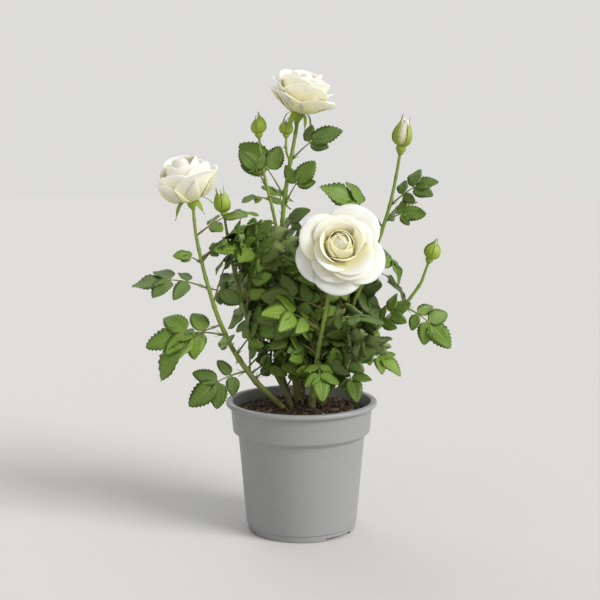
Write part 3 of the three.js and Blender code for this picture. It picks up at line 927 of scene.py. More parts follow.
@dataclass(frozen=True)
class CompoundLeaf:
    """A rose leaf: stipules, a stalk, pairs of side leaflets and an end leaflet."""

    start: np.ndarray
    tip: np.ndarray
    facing: np.ndarray
    pairs: int
    tone: LeafTone
    arch: float = 0.10
    shrink: float = 0.80
    stalk_radius: float = 0.85 * MM

    def grow(self, foliage: Foliage) -> None:
        """Add the leaf to a part of the crown."""
        rng = foliage.rng
        length = float(np.linalg.norm(self.tip - self.start))
        lift = self.arch * length * np.array([0.0, 0.0, 1.0])
        middle = 0.5 * (self.start + self.tip) + 2 * lift
        end_share = 0.47 if self.pairs > 1 else 0.60
        stalk_end = 1.0 - end_share
        path = bend(self.start, middle, self.tip, np.linspace(0.0, stalk_end, 7))
        flush = float(rng.uniform(0.0, 0.75))
        foliage.stalk(path, self.stalk_radius, 0.45 * self.stalk_radius, flush)
        forward = unit(path[-1] - path[-2])
        facing = square_to(self.facing + 0.12 * rng.normal(size=3), forward)
        self._end_leaflet(foliage, path[-1], facing)
        for number in range(self.pairs):
            share = stalk_end * (0.88 - 0.42 * number)
            side_length = length * end_share * (0.84 if self.pairs > 1 else 0.62) * self.shrink ** number
            self._pair(foliage, middle, share, facing, side_length, 54 + 12 * number, flush)
        self._stipules(foliage, path, facing, length)

    def _end_leaflet(self, foliage: Foliage, base: np.ndarray, facing: np.ndarray) -> None:
        """Add the leaflet at the end of the stalk."""
        blade = self.tip - base
        foliage.leaflet(base, blade, facing, float(np.linalg.norm(blade)), self.tone)

    def _pair(self, foliage: Foliage, middle: np.ndarray, share: float, facing: np.ndarray,
              length: float, angle: float, flush: float) -> None:
        """Add two opposite side leaflets on short stalks."""
        rng = foliage.rng
        near = bend(self.start, middle, self.tip, np.array([share - 0.02, share, share + 0.02]))
        forward = unit(near[2] - near[0])
        normal = square_to(facing, forward)
        for side in (-1.0, 1.0):
            swing = side * math.radians(angle + rng.normal(0, 7))
            outward = turned(forward, normal, swing)
            tilted = unit(outward - 0.16 * abs(rng.normal()) * normal)
            base = near[1] + 0.05 * length * outward
            foliage.stalk(np.array([near[1], base + 0.02 * length * tilted]), 0.45 * MM, 0.35 * MM, flush)
            leaning = unit(normal - side * 0.25 * np.cross(forward, normal) * rng.uniform(0.0, 1.0))
            foliage.leaflet(base, tilted, leaning, length * rng.uniform(0.9, 1.08), self.tone)

    def _stipules(self, foliage: Foliage, path: np.ndarray, facing: np.ndarray, length: float) -> None:
        """Add the two narrow wings at the foot of the stalk."""
        forward = unit(path[1] - path[0])
        across = np.cross(square_to(facing, forward), forward)
        wing = min(0.16 * length, 7 * MM)
        for side in (-1.0, 1.0):
            tip = path[0] + wing * unit(forward + 0.45 * side * across)
            blade = np.array([path[0], path[0] + 0.4 * wing * forward + side * 1.2 * MM * across, tip])
            foliage.stalk(blade, 0.6 * MM, 0.12 * MM, 0.0, sides=3)


@dataclass
class Crown:
    """Everything leafy: the single leaves at the outline and the crowded masses inside."""

    frame_nodes: dict[str, bpy.types.Object]
    paths: dict[str, LimbPath]
    keep_clear: list[tuple[np.ndarray, float]]
    rng: np.random.Generator
    leaf_spacing: float = 13.5 * MM
    usual_leaf: float = 52 * MM
    farthest_off: float = 26 * MM
    two_pairs_from: float = 50 * MM
    tries: int = 900
    most: int = 16
    back_of_plant: float = 30 * MM
    five_leaflets: frozenset[str] = frozenset(
        f"leaf_{place}" for place in (
            "left_upper", "left_lower", "left_bottom", "top_back", "middle_left_high", "middle_left_low",
            "right_top", "right_hanging", "right_back", "right_arm", "right_up", "right_low",
            "front_low_left", "front_low_right", "front_middle", "front_right"))
    tones: tuple[LeafTone, ...] = (LeafTone.DEEP, LeafTone.FULL, LeafTone.FRESH, LeafTone.DUSKY)
    outline_share: tuple[float, ...] = (0.16, 0.46, 0.26, 0.12)
    crowded_share: tuple[float, ...] = (0.40, 0.38, 0.08, 0.14)

    def _tone(self, weights: tuple[float, ...]) -> LeafTone:
        """Deal out a green to a spray."""
        return self.tones[self.rng.choice(len(self.tones), p=weights)]

    def _nearest_cane(self, point: np.ndarray) -> tuple[LimbPath, int, float]:
        """The cane that passes closest to a point."""
        found = [(path, *path.nearest(point)) for path in self.paths.values()]
        return min(found, key=lambda item: item[2])

    def single_leaf(self, name: str) -> CompoundLeaf:
        """Read a compound leaf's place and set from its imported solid.

        Args:
            name: The leaf's node.

        Returns:
            The leaf that takes the solid's place.
        """
        corners = NodeShape.read(self.frame_nodes[name]).corners
        distances = [self._nearest_cane(corner)[2] for corner in corners]
        start = corners[int(np.argmin(distances))]
        path, index, _ = self._nearest_cane(start)
        start = path.points[index] + 0.6 * (start - path.points[index])
        tip = corners[int(np.linalg.norm(corners - start, axis=1).argmax())]
        axis = unit(tip - start)
        spread = corners - corners.mean(axis=0)
        flat = spread - np.outer(spread @ axis, axis)
        _, _, directions = np.linalg.svd(flat, full_matrices=False)
        normal = square_to(directions[1], axis)
        outward = np.array([0.0, -0.5 if tip[1] < self.back_of_plant else 0.3, 0.0])
        normal = normal if normal @ (0.75 * UP + outward) > 0 else -normal
        pairs = 2 if name in self.five_leaflets else 1
        return CompoundLeaf(start, tip, normal, pairs, self._tone(self.outline_share))

    def _clear(self, start: np.ndarray, tip: np.ndarray) -> bool:
        """True if a leaf between two points keeps out of every bloom and bud."""
        shares = np.linspace(0.2, 1.0, 5)[:, None]
        spine = start + shares * (tip - start)
        return all(np.linalg.norm(spine - centre, axis=1).min() > radius
                   for centre, radius in self.keep_clear)

    def _start_for(self, tip: np.ndarray) -> np.ndarray | None:
        """The best place on a cane for a leaf to reach a tip."""
        best, cost = None, math.inf
        for path in self.paths.values():
            usable = path.points[4:-3]
            away = np.linalg.norm(usable - tip, axis=1)
            costs = np.abs(away - self.usual_leaf) + 0.5 * np.maximum(usable[:, 2] - tip[2] + 8 * MM, 0.0)
            index = int(costs.argmin())
            if costs[index] < cost and self._clear(usable[index], tip):
                best, cost = usable[index], costs[index]
        return best if cost < self.farthest_off else None

    def mass_leaves(self, name: str) -> list[CompoundLeaf]:
        """Fill a crowded mass with leaves that spring from the canes.

        Args:
            name: The mass's node.

        Returns:
            Its leaves.
        """
        low, high = (np.array(corner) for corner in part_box(name))
        centre, half = 0.5 * (low + high), 0.5 * (high - low)
        tips: list[np.ndarray] = []
        leaves: list[CompoundLeaf] = []
        for _ in range(self.tries):
            if len(leaves) >= self.most:
                break
            direction = unit(self.rng.normal(size=3))
            tip = centre + direction * half * self.rng.uniform(0.55, 1.05)
            if any(np.linalg.norm(tip - other) < self.leaf_spacing for other in tips):
                continue
            start = self._start_for(tip)
            if start is None:
                continue
            tips.append(tip)
            outward = unit((tip - centre) * np.array([1.0, 1.0, 0.3]) + 0.6 * tip * np.array([1.0, 1.0, 0.0]))
            facing = 0.62 * UP + 0.75 * outward + 0.18 * self.rng.normal(size=3)
            pairs = 2 if np.linalg.norm(tip - start) > self.two_pairs_from else 1
            leaves.append(CompoundLeaf(start, tip, facing, pairs, self._tone(self.crowded_share)))
        return leaves

    def build(self, finishes: dict[LeafTone, bpy.types.Material],
              stalk_finish: bpy.types.Material) -> list[bpy.types.Object]:
        """Grow all leaves and join them by part of the crown.

        Args:
            finishes: A material for each green.
            stalk_finish: The stalks' material.

        Returns:
            The meshes of blades and stalks.
        """
        outer, inner, back = (Foliage(part, self.rng) for part in ("outer", "inner", "back"))
        singles = sorted(name for name in self.frame_nodes if name.startswith("leaf_"))
        masses = sorted(name for name in self.frame_nodes if name.startswith("foliage_"))
        behind = [name for name in masses if name.startswith("foliage_back_")]
        within = [name for name in masses if name not in behind]
        for name in singles:
            self.single_leaf(name).grow(outer)
        for part, nodes in ((back, behind), (inner, within)):
            for name in nodes:
                leaves = self.mass_leaves(name)
                LOG.info("%s holds %d leaves", name, len(leaves))
                for leaf in leaves:
                    leaf.grow(part)
        made = []
        for part, nodes in ((outer, singles), (inner, within), (back, behind)):
            blades, stalks = part.build(finishes, stalk_finish)
            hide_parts(*nodes)
            for piece in (blades, stalks):
                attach(piece, "root")
            made += [blades, stalks]
        return made


# ---------------------------------------------------------------- canes and thorns

@dataclass
class Cane:
    """A cane with swollen leaf joints, shallow ridges and bark that ages towards the soil."""

    name: str
    path: LimbPath
    grows_from_soil: bool
    joint_spacing: float = 23 * MM
    joint_swelling: float = 0.22
    joint_length: float = 1.6 * MM
    ridge_depth: float = 0.035
    control_points: int = 16
    buried: float = 3 * MM
    corky_share: float = 0.55

    def _curve(self) -> bpy.types.Object:
        """Lay a curve of varying thickness along the path and make it a mesh."""
        bpy.ops.curve.primitive_bezier_curve_add(enter_editmode=False)
        piece = bpy.context.active_object
        spline = piece.data.splines[0]
        spline.bezier_points.add(self.control_points - len(spline.bezier_points))
        picked = np.linspace(0, len(self.path.points) - 1, self.control_points).round().astype(int)
        for point, index in zip(spline.bezier_points, picked):
            point.co = Vector(self.path.points[index])
            point.radius = float(self.path.radii[index])
            point.handle_left_type = point.handle_right_type = "AUTO"
        if self.grows_from_soil:
            spline.bezier_points[0].co.z -= self.buried
        piece.data.dimensions = "3D"
        piece.data.bevel_depth = 1.0
        piece.data.bevel_resolution = 4
        piece.data.resolution_u = 8
        piece.data.use_fill_caps = True
        hands_off()
        piece.select_set(True)
        bpy.ops.object.convert(target="MESH")
        return bpy.context.active_object

    def _work_bark(self, mesh: bpy.types.Mesh) -> None:
        """Raise joints and ridges on a plain cane and store the age of its bark."""
        corners = corner_places(mesh)
        steps = np.linalg.norm(np.diff(self.path.points, axis=0), axis=1)
        lengths = np.concatenate([[0.0], np.cumsum(steps)])
        nearest = np.linalg.norm(corners[:, None, :] - self.path.points[None, :, :], axis=2).argmin(axis=1)
        along = lengths[nearest]
        tangents = np.array([self.path.tangent(int(index)) for index in nearest])
        radial = corners - self.path.points[nearest]
        level = (radial * tangents).sum(axis=1)
        radial = radial - level[:, None] * tangents
        past_joint = (along + level) % self.joint_spacing - 0.5 * self.joint_spacing
        joint = np.exp(-(past_joint / self.joint_length) ** 2)
        angle = np.arctan2(radial[:, 1], radial[:, 0])
        ridges = self.ridge_depth * (np.sin(5 * angle + 60 * along) + 0.6 * np.sin(9 * angle - 150 * along))
        moved = corners + radial * (self.joint_swelling * joint + ridges)[:, None]
        mesh.vertices.foreach_set("co", moved.ravel())
        green_from = self.corky_share * lengths[-1]
        age = 1.0 - ease(along, 0.0, green_from) if self.grows_from_soil else np.zeros(len(along))
        store_shade(mesh, 0.65 * age + 0.12 * joint)

    def build(self, bark: bpy.types.Material) -> bpy.types.Object:
        """Model the cane.

        Args:
            bark: Its material.

        Returns:
            The finished piece, in place of its node.
        """
        hands_off()
        piece = self._curve()
        piece.name = piece.data.name = self.name
        mesh = piece.data
        mesh.transform(piece.matrix_world)
        piece.matrix_world = Matrix.Identity(4)
        self._work_bark(mesh)
        mesh.polygons.foreach_set("use_smooth", np.full(len(mesh.polygons), True))
        mesh.materials.clear()
        mesh.materials.append(bark)
        mesh.update()
        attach(piece, "root")
        return piece


@dataclass
class Thorns:
    """Curved thorns along the lower stretch of the canes."""

    rng: np.random.Generator
    spacing: float = 13 * MM
    length: float = 4.2 * MM
    root_radius: float = 1.15 * MM
    reach: float = 0.72
    sides: int = 7

    def _thorn(self, batch: SurfaceBatch, root: np.ndarray, out: np.ndarray, tangent: np.ndarray,
               size: float) -> None:
        """Add a thorn that hooks down from its root."""
        tip = root + size * self.length * unit(out - 0.45 * tangent)
        middle = root + 0.5 * size * self.length * unit(out + 0.05 * tangent)
        taper = np.array([1.5, 0.95, 0.62, 0.4, 0.2, 0.03])
        shares = np.linspace(0, 1, len(taper))
        path = bend(root - 0.35 * MM * out, middle, tip, shares)
        corners, faces = tube(path, size * self.root_radius * taper, self.sides)
        shade = np.repeat(shares, self.sides)
        batch.add(corners, faces, shade=np.concatenate([shade, [0.0, 1.0]]))

    def build(self, paths: dict[str, LimbPath], horn: bpy.types.Material) -> bpy.types.Object:
        """Set thorns along the canes.

        Args:
            paths: The canes that bear them.
            horn: Their material.

        Returns:
            All thorns in one mesh.
        """
        batch = SurfaceBatch(STALK_MAP)
        for number, path in enumerate(paths.values()):
            count = int(self.reach * path.length / self.spacing)
            angle = 1.7 * number
            for step in range(count):
                share = (step + 0.8 + self.rng.uniform(-0.25, 0.25)) / count * self.reach
                index = int(share * (len(path.points) - 1))
                tangent = path.tangent(index)
                angle += GOLDEN_ANGLE + self.rng.normal(0, 0.3)
                side = square_to(np.array([1.0, 0.2, 0.0]), tangent)
                out = turned(side, tangent, angle)
                root = path.points[index] + 0.85 * path.radii[index] * out
                self._thorn(batch, root, out, tangent, self.rng.uniform(0.6, 1.05) * (1.1 - 0.4 * share))
        piece = batch.build("cane_thorns", [horn])
        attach(piece, "root")
        return piece


# ---------------------------------------------------------------- pot and soil

@dataclass
class NurseryPot:
    """A thin injection-moulded pot: foot ring, tapered body, wider collar and rolled lip."""

    rim_radius: float
    height: float
    base_radius: float = 44.2 * MM
    body_top_radius: float = 50.3 * MM
    step_height: float = 80 * MM
    step_radius: float = 54.6 * MM
    collar_radius: float = 56.3 * MM
    lip_height: float = 3.6 * MM
    wall: float = 1.6 * MM
    floor_top: float = 5 * MM
    pad_radius: float = 20 * MM
    channel_inner: float = 22 * MM
    channel_outer: float = 36 * MM
    channel_height: float = 3 * MM
    foot_height: float = 5 * MM
    foot_inset: float = 1 * MM
    foot_gaps: int = 3
    first_gap: float = math.radians(-45)
    gap_angle: float = math.radians(36)
    gap_height: float = 2.2 * MM
    drain_holes: int = 6
    drain_radius: float = 3.5 * MM
    drain_circle: float = 29 * MM
    sides: int = 168

    def _profile(self) -> list[tuple[float, float]]:
        """Radius and height of each ring, from the pad underneath, out, up and down inside."""
        foot = self.base_radius - self.foot_inset
        collar_top = self.height - self.lip_height
        inside = self.wall
        return [
            (self.channel_inner, self.channel_height),
            (self.channel_outer, self.channel_height),
            (self.channel_outer + 1.5 * MM, 0.0),
            (foot - 0.4 * MM, 0.0),
            (foot, self.foot_height),
            (self.base_radius, self.foot_height + 0.5 * MM),
            (self.body_top_radius, self.step_height - 3.4 * MM),
            (self.step_radius, self.step_height),
            (self.collar_radius, collar_top),
            (self.rim_radius - 0.6 * MM, collar_top),
            (self.rim_radius, collar_top + 0.9 * MM),
            (self.rim_radius, self.height - 0.9 * MM),
            (self.rim_radius - 0.9 * MM, self.height),
            (self.collar_radius - 0.8 * MM, self.height),
            (self.collar_radius - inside, self.height - 1.2 * MM),
            (self.step_radius - inside, self.step_height + 0.8 * MM),
            (self.body_top_radius - inside, self.step_height - 2.6 * MM),
            (self.base_radius - inside, self.floor_top),
        ]

    def _shell(self) -> bpy.types.Object:
        """Draw the wall up and round, ring after ring, and close it underneath and inside."""
        bpy.ops.mesh.primitive_circle_add(vertices=self.sides, radius=self.pad_radius, fill_type="NGON")
        piece = bpy.context.active_object
        bpy.ops.object.mode_set(mode="EDIT")
        bpy.ops.mesh.select_mode(type="EDGE")
        bpy.ops.mesh.select_all(action="SELECT")
        radius, height = self.pad_radius, 0.0
        bpy.ops.mesh.region_to_loop()
        for next_radius, next_height in self._profile():
            rise = next_height - height
            bpy.ops.mesh.extrude_edges_move(TRANSFORM_OT_translate={"value": (0, 0, rise)})
            share = next_radius / radius
            bpy.ops.transform.resize(value=(share, share, 1), center_override=(0, 0, next_height))
            radius, height = next_radius, next_height
        bpy.ops.mesh.edge_face_add()
        bpy.ops.mesh.select_all(action="SELECT")
        bpy.ops.mesh.normals_make_consistent(inside=False)
        bpy.ops.object.mode_set(mode="OBJECT")
        return piece

    def _cutter(self) -> bpy.types.Object:
        """Shape the blocks and pins that cut the foot gaps and the drain holes."""
        hands_off()
        made = []
        chord = 2 * self.base_radius * math.sin(self.gap_angle / 2)
        depth = self.base_radius - self.channel_outer + 8 * MM
        for number in range(self.foot_gaps):
            angle = self.first_gap + number * 2 * math.pi / self.foot_gaps
            middle = self.channel_outer - 2 * MM + depth / 2
            place = (middle * math.cos(angle), middle * math.sin(angle), 0.0)
            bpy.ops.mesh.primitive_cube_add(size=1, location=place, rotation=(0, 0, angle),
                                            scale=(depth, chord, 2 * self.gap_height))
            made.append(bpy.context.active_object)
        for number in range(self.drain_holes):
            angle = (number + 0.5) * 2 * math.pi / self.drain_holes
            place = (self.drain_circle * math.cos(angle), self.drain_circle * math.sin(angle), 4 * MM)
            bpy.ops.mesh.primitive_cylinder_add(vertices=28, radius=self.drain_radius, depth=10 * MM,
                                                location=place)
            made.append(bpy.context.active_object)
        for piece in made:
            piece.select_set(True)
        bpy.context.view_layer.objects.active = made[0]
        bpy.ops.object.join()
        return bpy.context.active_object

    def build(self, plastic: bpy.types.Material) -> bpy.types.Object:
        """Mould the pot.

        Args:
            plastic: Its material.

        Returns:
            The finished pot.
        """
        hands_off()
        piece = self._shell()
        piece.name = piece.data.name = "nursery_pot"
        rounding = piece.modifiers.new("rounding", "BEVEL")
        rounding.width = 0.5 * MM
        rounding.segments = 3
        rounding.limit_method = "ANGLE"
        rounding.angle_limit = math.radians(22)
        finish_shape(piece, rounding)
        cutter = self._cutter()
        cut = piece.modifiers.new("cut", "BOOLEAN")
        cut.operation = "DIFFERENCE"
        cut.object = cutter
        cut.solver = "EXACT"
        finish_shape(piece, cut)
        bpy.data.objects.remove(cutter)
        bpy.ops.object.shade_smooth_by_angle(angle=math.radians(32))
        piece.data.materials.clear()
        piece.data.materials.append(plastic)
        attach(piece, "root")
        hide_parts("pot")
        return piece


@dataclass
class PeatSoil:
    """Crumbly peat with bark chips, slightly heaped in the middle."""

    rng: np.random.Generator
    inner_radius: float
    edge_height: float = 95 * MM
    middle_height: float = 97 * MM
    depth: float = 6 * MM
    rings: int = 44
    sides: int = 150
    crumb: float = 2.6 * MM
    chips: int = 900

    def _level(self, distance: np.ndarray) -> np.ndarray:
        """Height of the smoothed surface at a distance from the middle."""
        return self.middle_height - (self.middle_height - self.edge_height) * ease(
            distance, 0.3 * self.inner_radius, self.inner_radius)

    def _bed(self, peat: bpy.types.Material) -> bpy.types.Object:
        """Inset a disc ring by ring, roughen it and give it a side."""
        hands_off()
        bpy.ops.mesh.primitive_circle_add(vertices=self.sides, radius=self.inner_radius, fill_type="NGON")
        piece = bpy.context.active_object
        piece.name = piece.data.name = "soil_bed"
        bpy.ops.object.mode_set(mode="EDIT")
        bpy.ops.mesh.select_mode(type="FACE")
        bpy.ops.mesh.select_all(action="SELECT")
        for _ in range(self.rings):
            bpy.ops.mesh.inset(thickness=self.inner_radius / (self.rings + 1.5))
        bpy.ops.mesh.poke()
        bpy.ops.mesh.select_all(action="SELECT")
        bpy.ops.mesh.normals_make_consistent(inside=False)
        bpy.ops.object.mode_set(mode="OBJECT")
        places = corner_places(piece.data)
        places[:, 2] = self._level(np.linalg.norm(places[:, :2], axis=1))
        piece.data.vertices.foreach_set("co", places.ravel())
        piece.data.update()
        rough = []
        for name, size, strength in (("lumps", 9 * MM, 1.0), ("crumbs", 3.2 * MM, 0.9)):
            texture = bpy.data.textures.new(name, "CLOUDS")
            texture.noise_scale = size
            texture.noise_depth = 3
            modifier = piece.modifiers.new(name, "DISPLACE")
            modifier.texture = texture
            modifier.texture_coords = "LOCAL"
            modifier.direction = "Z"
            modifier.strength = strength * self.crumb
            rough.append(modifier)
        finish_shape(piece, *rough)
        bpy.ops.object.mode_set(mode="EDIT")
        bpy.ops.mesh.select_mode(type="EDGE")
        bpy.ops.mesh.select_all(action="SELECT")
        bpy.ops.mesh.region_to_loop()
        bpy.ops.mesh.extrude_edges_move(TRANSFORM_OT_translate={"value": (0, 0, -self.depth)})
        bpy.ops.mesh.edge_face_add()
        bpy.ops.object.mode_set(mode="OBJECT")
        bpy.ops.object.shade_smooth_by_angle(angle=math.radians(50))
        piece.data.materials.clear()
        piece.data.materials.append(peat)
        return piece

    def _chip(self, size: np.ndarray) -> tuple[np.ndarray, np.ndarray]:
        """A splintered chip: a bent block with uneven corners."""
        steps = np.linspace(-1, 1, 4)
        ring = np.array([[-1, -1], [1, -1], [1, 1], [-1, 1]]) * 0.5
        taper = 1 - 0.45 * steps ** 2
        corners = np.array([[0.5 * step, *(offset * narrow)] for step, narrow in zip(steps, taper)
                            for offset in ring])
        corners[:, 2] += 0.18 * np.sin(3 * corners[:, 0])
        corners = (corners + self.rng.normal(0, 0.07, corners.shape)) * size
        walls = grid_faces(4, 4, closed=True)
        return corners, np.vstack([walls, [[3, 2, 1, 0], [12, 13, 14, 15]]])

    def _litter(self, finishes: list[bpy.types.Material]) -> bpy.types.Object:
        """Scatter chips and crumbs over the bed."""
        batch = SurfaceBatch(STALK_MAP)
        for _ in range(self.chips):
            distance = (self.inner_radius - 2.5 * MM) * math.sqrt(self.rng.uniform())
            angle = self.rng.uniform(0, 2 * math.pi)
            length = min(1.2 * MM + self.rng.exponential(1.5 * MM), 7.5 * MM)
            size = length * np.array([1.0, self.rng.uniform(0.35, 0.7), self.rng.uniform(0.2, 0.45)])
            corners, faces = self._chip(size)
            tilt = Matrix.Rotation(self.rng.uniform(0, 6.3), 3, "Z") @ Matrix.Rotation(
                self.rng.normal(0, 0.45), 3, "Y") @ Matrix.Rotation(self.rng.normal(0, 0.6), 3, "X")
            level = float(self._level(np.array(distance))) + 0.55 * self.crumb
            place = np.array([distance * math.cos(angle), distance * math.sin(angle), level])
            slot = self.rng.choice(len(finishes), p=(0.55, 0.30, 0.15))
            batch.add(corners @ np.array(tilt).T + place, faces, slot)
        return batch.build("soil_chips", finishes, smooth=False)

    def build(self, finishes: list[bpy.types.Material]) -> list[bpy.types.Object]:
        """Fill the pot.

        Args:
            finishes: Peat, bark and pale splinter materials.

        Returns:
            The bed and the chips on it.
        """
        bed = self._bed(finishes[0])
        chips = self._litter(finishes)
        for piece in (bed, chips):
            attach(piece, "root")
        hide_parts("soil")
        return [bed, chips]


# ---------------------------------------------------------------- blooms and buds

@dataclass(frozen=True)
class Blade:
    """A petal or a sepal, growing from the flower's foot and leaning away from its axis.

    The leans are angles from the axis in degrees, at equal steps from foot to tip. The
    blade curves round the axis at flatness times its distance, by wrap radians at most,
    and never tighter than a share of its length. Its shoulder rounds the tip off, its roll
    turns the margin out, and its warmth is the shade at its foot and at its tip.
    """

    length: float
    width: float
    leans: tuple[float, ...]
    root: float = 2.6 * MM
    lift: float = 5.0 * MM
    flatness: float = 1.25
    cup: float = 0.0
    roll: float = 1.2 * MM
    wave: float = 0.5 * MM
    overlap: float = 0.6 * MM
    shoulder: float = 0.44
    wrap: float = 2.2
    tightest: float = 0.12
    pointed: bool = False
    warmth: tuple[float, float] = (0.75, 0.06)
    rows: int = 11
    columns: int = 9

    def _half_width(self, share: np.ndarray) -> np.ndarray:
        """Half the width at shares of the length."""
        if self.pointed:
            lance = (0.80 + 1.0 * share) * np.clip(1 - share / 0.80, 0, 1) ** 0.5
            return 0.5 * self.width * np.maximum(lance, 0.17 * (1.08 - share))
        spread = 0.26 + 0.74 * np.sin(0.5 * math.pi * np.clip(share / 0.6, 0, 1))
        return 0.5 * self.width * spread

    def surface(self, azimuth: float, phase: float) -> tuple[np.ndarray, np.ndarray, np.ndarray]:
        """Shape the blade at an angle round the axis.

        Args:
            azimuth: The angle, in radians.
            phase: Shifts its ruffles, from 0 to 1.

        Returns:
            Corners in the flower's frame, map places and shades.
        """
        along = np.linspace(0, 1, self.rows)[:, None] * np.ones((1, self.columns))
        across = np.sin(np.linspace(-0.5, 0.5, self.columns) * math.pi)[None, :] * np.ones((self.rows, 1))
        reach = np.abs(across)
        shoulder = 0.0 if self.pointed else self.shoulder - 0.05 * math.sin(9 * phase)
        rounding = 1 - np.sqrt(np.clip(1 - reach ** 2, 0, 1))
        share = along * (1 - shoulder * rounding * along)
        fine = np.linspace(0, 1, 120)
        lean = np.radians(np.interp(fine, np.linspace(0, 1, len(self.leans)), self.leans))
        step = self.length / (len(fine) - 1)
        outward = self.root + np.concatenate([[0], np.cumsum(np.sin(lean[:-1]) * step)])
        upward = self.lift + np.concatenate([[0], np.cumsum(np.cos(lean[:-1]) * step)])
        radius, height = np.interp(share, fine, outward), np.interp(share, fine, upward)
        here = np.interp(share, fine, lean)
        half = self._half_width(share)
        wide = across * half
        taper = half / (0.5 * self.width) if self.pointed else 1.0
        curve = self.flatness * np.maximum(radius, self.tightest * self.length)
        swing = self.wrap * np.tanh(wide / (self.wrap * curve))
        rim = 1 - (1 - along ** 7) * (1 - reach ** 5 * share)
        off = self.roll * rim + self.overlap * across * share * taper
        off = off - self.cup * reach ** 2 * np.sin(math.pi * np.clip(share, 0, 1)) ** 0.5
        slow = np.sin(2 * math.pi * (1.1 * across + phase))
        quick = np.sin(2 * math.pi * (2.3 * across - phase))
        off = off + self.wave * (slow + 0.5 * quick) * share ** 2.5
        out = radius - curve + curve * np.cos(swing) + off * np.cos(here)
        side = curve * np.sin(swing)
        up = height - off * np.sin(here)
        x = out * math.cos(azimuth) - side * math.sin(azimuth)
        y = out * math.sin(azimuth) + side * math.cos(azimuth)
        corners = np.stack([x, y, up], axis=-1).reshape(-1, 3)
        places = np.stack([0.5 + 0.5 * across, share], axis=-1).reshape(-1, 2)
        # On petals the shade is their own yellow; its high values on the inner whorls are partly painted glow
        foot, tip = self.warmth
        shade = tip + (foot - tip) * (1 - share) ** 0.95
        return corners, places, np.clip(shade, 0, 1).ravel()


@dataclass(frozen=True)
class Whorl:
    """Blades of one kind set round the axis, each a step further out than the last."""

    blade: Blade
    count: int
    turn: float = 0.0
    untidiness: float = 0.07
    size_spread: float = 0.05
    step: float = 0.22 * MM
    looseness: float = 2.0


@dataclass
class Flower:
    """What blooms and buds share: a place on a cane, a hip and whorls of blades."""

    name: str
    path: LimbPath
    axis: np.ndarray
    rng: np.random.Generator
    gap: float = 0.85 * MM
    scale: float = 1.0

    def _frame(self) -> tuple[np.ndarray, np.ndarray]:
        """The flower's base point, and its side, across and axis directions as rows."""
        axis = unit(self.axis)
        side = square_to(np.array([1.0, 0.0, 0.0]), axis)
        base = self.path.points[-1] + self.gap * axis
        return base, np.stack([side, np.cross(axis, side), axis])

    def _add_whorl(self, batch: SurfaceBatch, whorl: Whorl) -> None:
        """Add a whorl's blades to a batch."""
        base, directions = self._frame()
        for number in range(whorl.count):
            azimuth = whorl.turn + 2 * math.pi * number / whorl.count
            azimuth += self.rng.normal(0, whorl.untidiness)
            tilt = self.rng.normal(0, whorl.looseness)
            blade = replace(whorl.blade, root=whorl.blade.root + number * whorl.step,
                            leans=tuple(lean + tilt for lean in whorl.blade.leans))
            corners, places, shade = blade.surface(azimuth, self.rng.uniform())
            size = self.scale * (1 + self.rng.normal(0, whorl.size_spread))
            faces = grid_faces(whorl.blade.rows, whorl.blade.columns)
            batch.add(base + size * corners @ directions, faces, places=places, shade=shade)

    def _grow(self, name: str, whorls: list[Whorl], finish: bpy.types.Material,
              thickness: float) -> bpy.types.Object:
        """Join the blades of some whorls, smooth them and give them their thickness."""
        batch = SurfaceBatch(PETAL_MAP)
        for whorl in whorls:
            self._add_whorl(batch, whorl)
        piece = batch.build(name, [finish])
        smooth = piece.modifiers.new("smooth", "SUBSURF")
        smooth.levels = smooth.render_levels = 1
        body = piece.modifiers.new("body", "SOLIDIFY")
        body.thickness = thickness
        body.offset = 0.0
        finish_shape(piece, smooth, body)
        return piece

    def _petals(self, whorls: list[Whorl], finish: bpy.types.Material, thickness: float) -> bpy.types.Object:
        """Make the petals, all in one piece."""
        piece = self._grow(f"{self.name}_petals", whorls, finish, thickness)
        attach(piece, "root")
        return piece

    def _calyx(self, sepals: list[Whorl], hip: list[tuple[float, float]], finish: bpy.types.Material,
               thickness: float = 0.45 * MM) -> bpy.types.Object:
        """Join the hip and the sepals.

        Args:
            sepals: The whorls of sepals.
            hip: Height and radius of each ring of the hip, from the cane up.
            finish: Their material.
            thickness: How thick a sepal is.

        Returns:
            The calyx.
        """
        piece = self._grow(f"{self.name}_calyx", sepals, finish, thickness)
        base, directions = self._frame()
        heights, radii = np.array(hip).T
        urn = SurfaceBatch(PETAL_MAP)
        corners, faces = tube(base + heights[:, None] * directions[2], radii, 20)
        urn.add(corners, faces, shade=0.25)
        hip_piece = urn.build(f"{self.name}_hip", [finish])
        hands_off()
        hip_piece.select_set(True)
        piece.select_set(True)
        bpy.context.view_layer.objects.active = piece
        bpy.ops.object.join()
        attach(piece, "root")
        return piece


@dataclass
class Bloom(Flower):
    """An open rose: guard petals, whorls that stand up towards the heart, hip and turned-back sepals."""

    whorls: list[Whorl] = field(default_factory=list)
    sepals: list[Whorl] = field(default_factory=list)
    petal_thickness: float = 0.32 * MM

    def build(self, petal: bpy.types.Material, calyx: bpy.types.Material) -> list[bpy.types.Object]:
        """Open the bloom.

        Args:
            petal: The petals' material.
            calyx: The hip's and the sepals' material.

        Returns:
            The petals and the calyx.
        """
        petals = self._petals(self.whorls, petal, self.petal_thickness)
        hip = [(-1.6 * MM, 1.5 * MM), (-0.4 * MM, 1.9 * MM), (1.0 * MM, 2.9 * MM), (2.6 * MM, 3.5 * MM),
               (4.2 * MM, 3.6 * MM), (5.4 * MM, 3.1 * MM), (6.2 * MM, 3.0 * MM), (7.2 * MM, 3.4 * MM)]
        green = self._calyx(self.sepals, hip, calyx)
        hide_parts(self.name)
        return [petals, green]


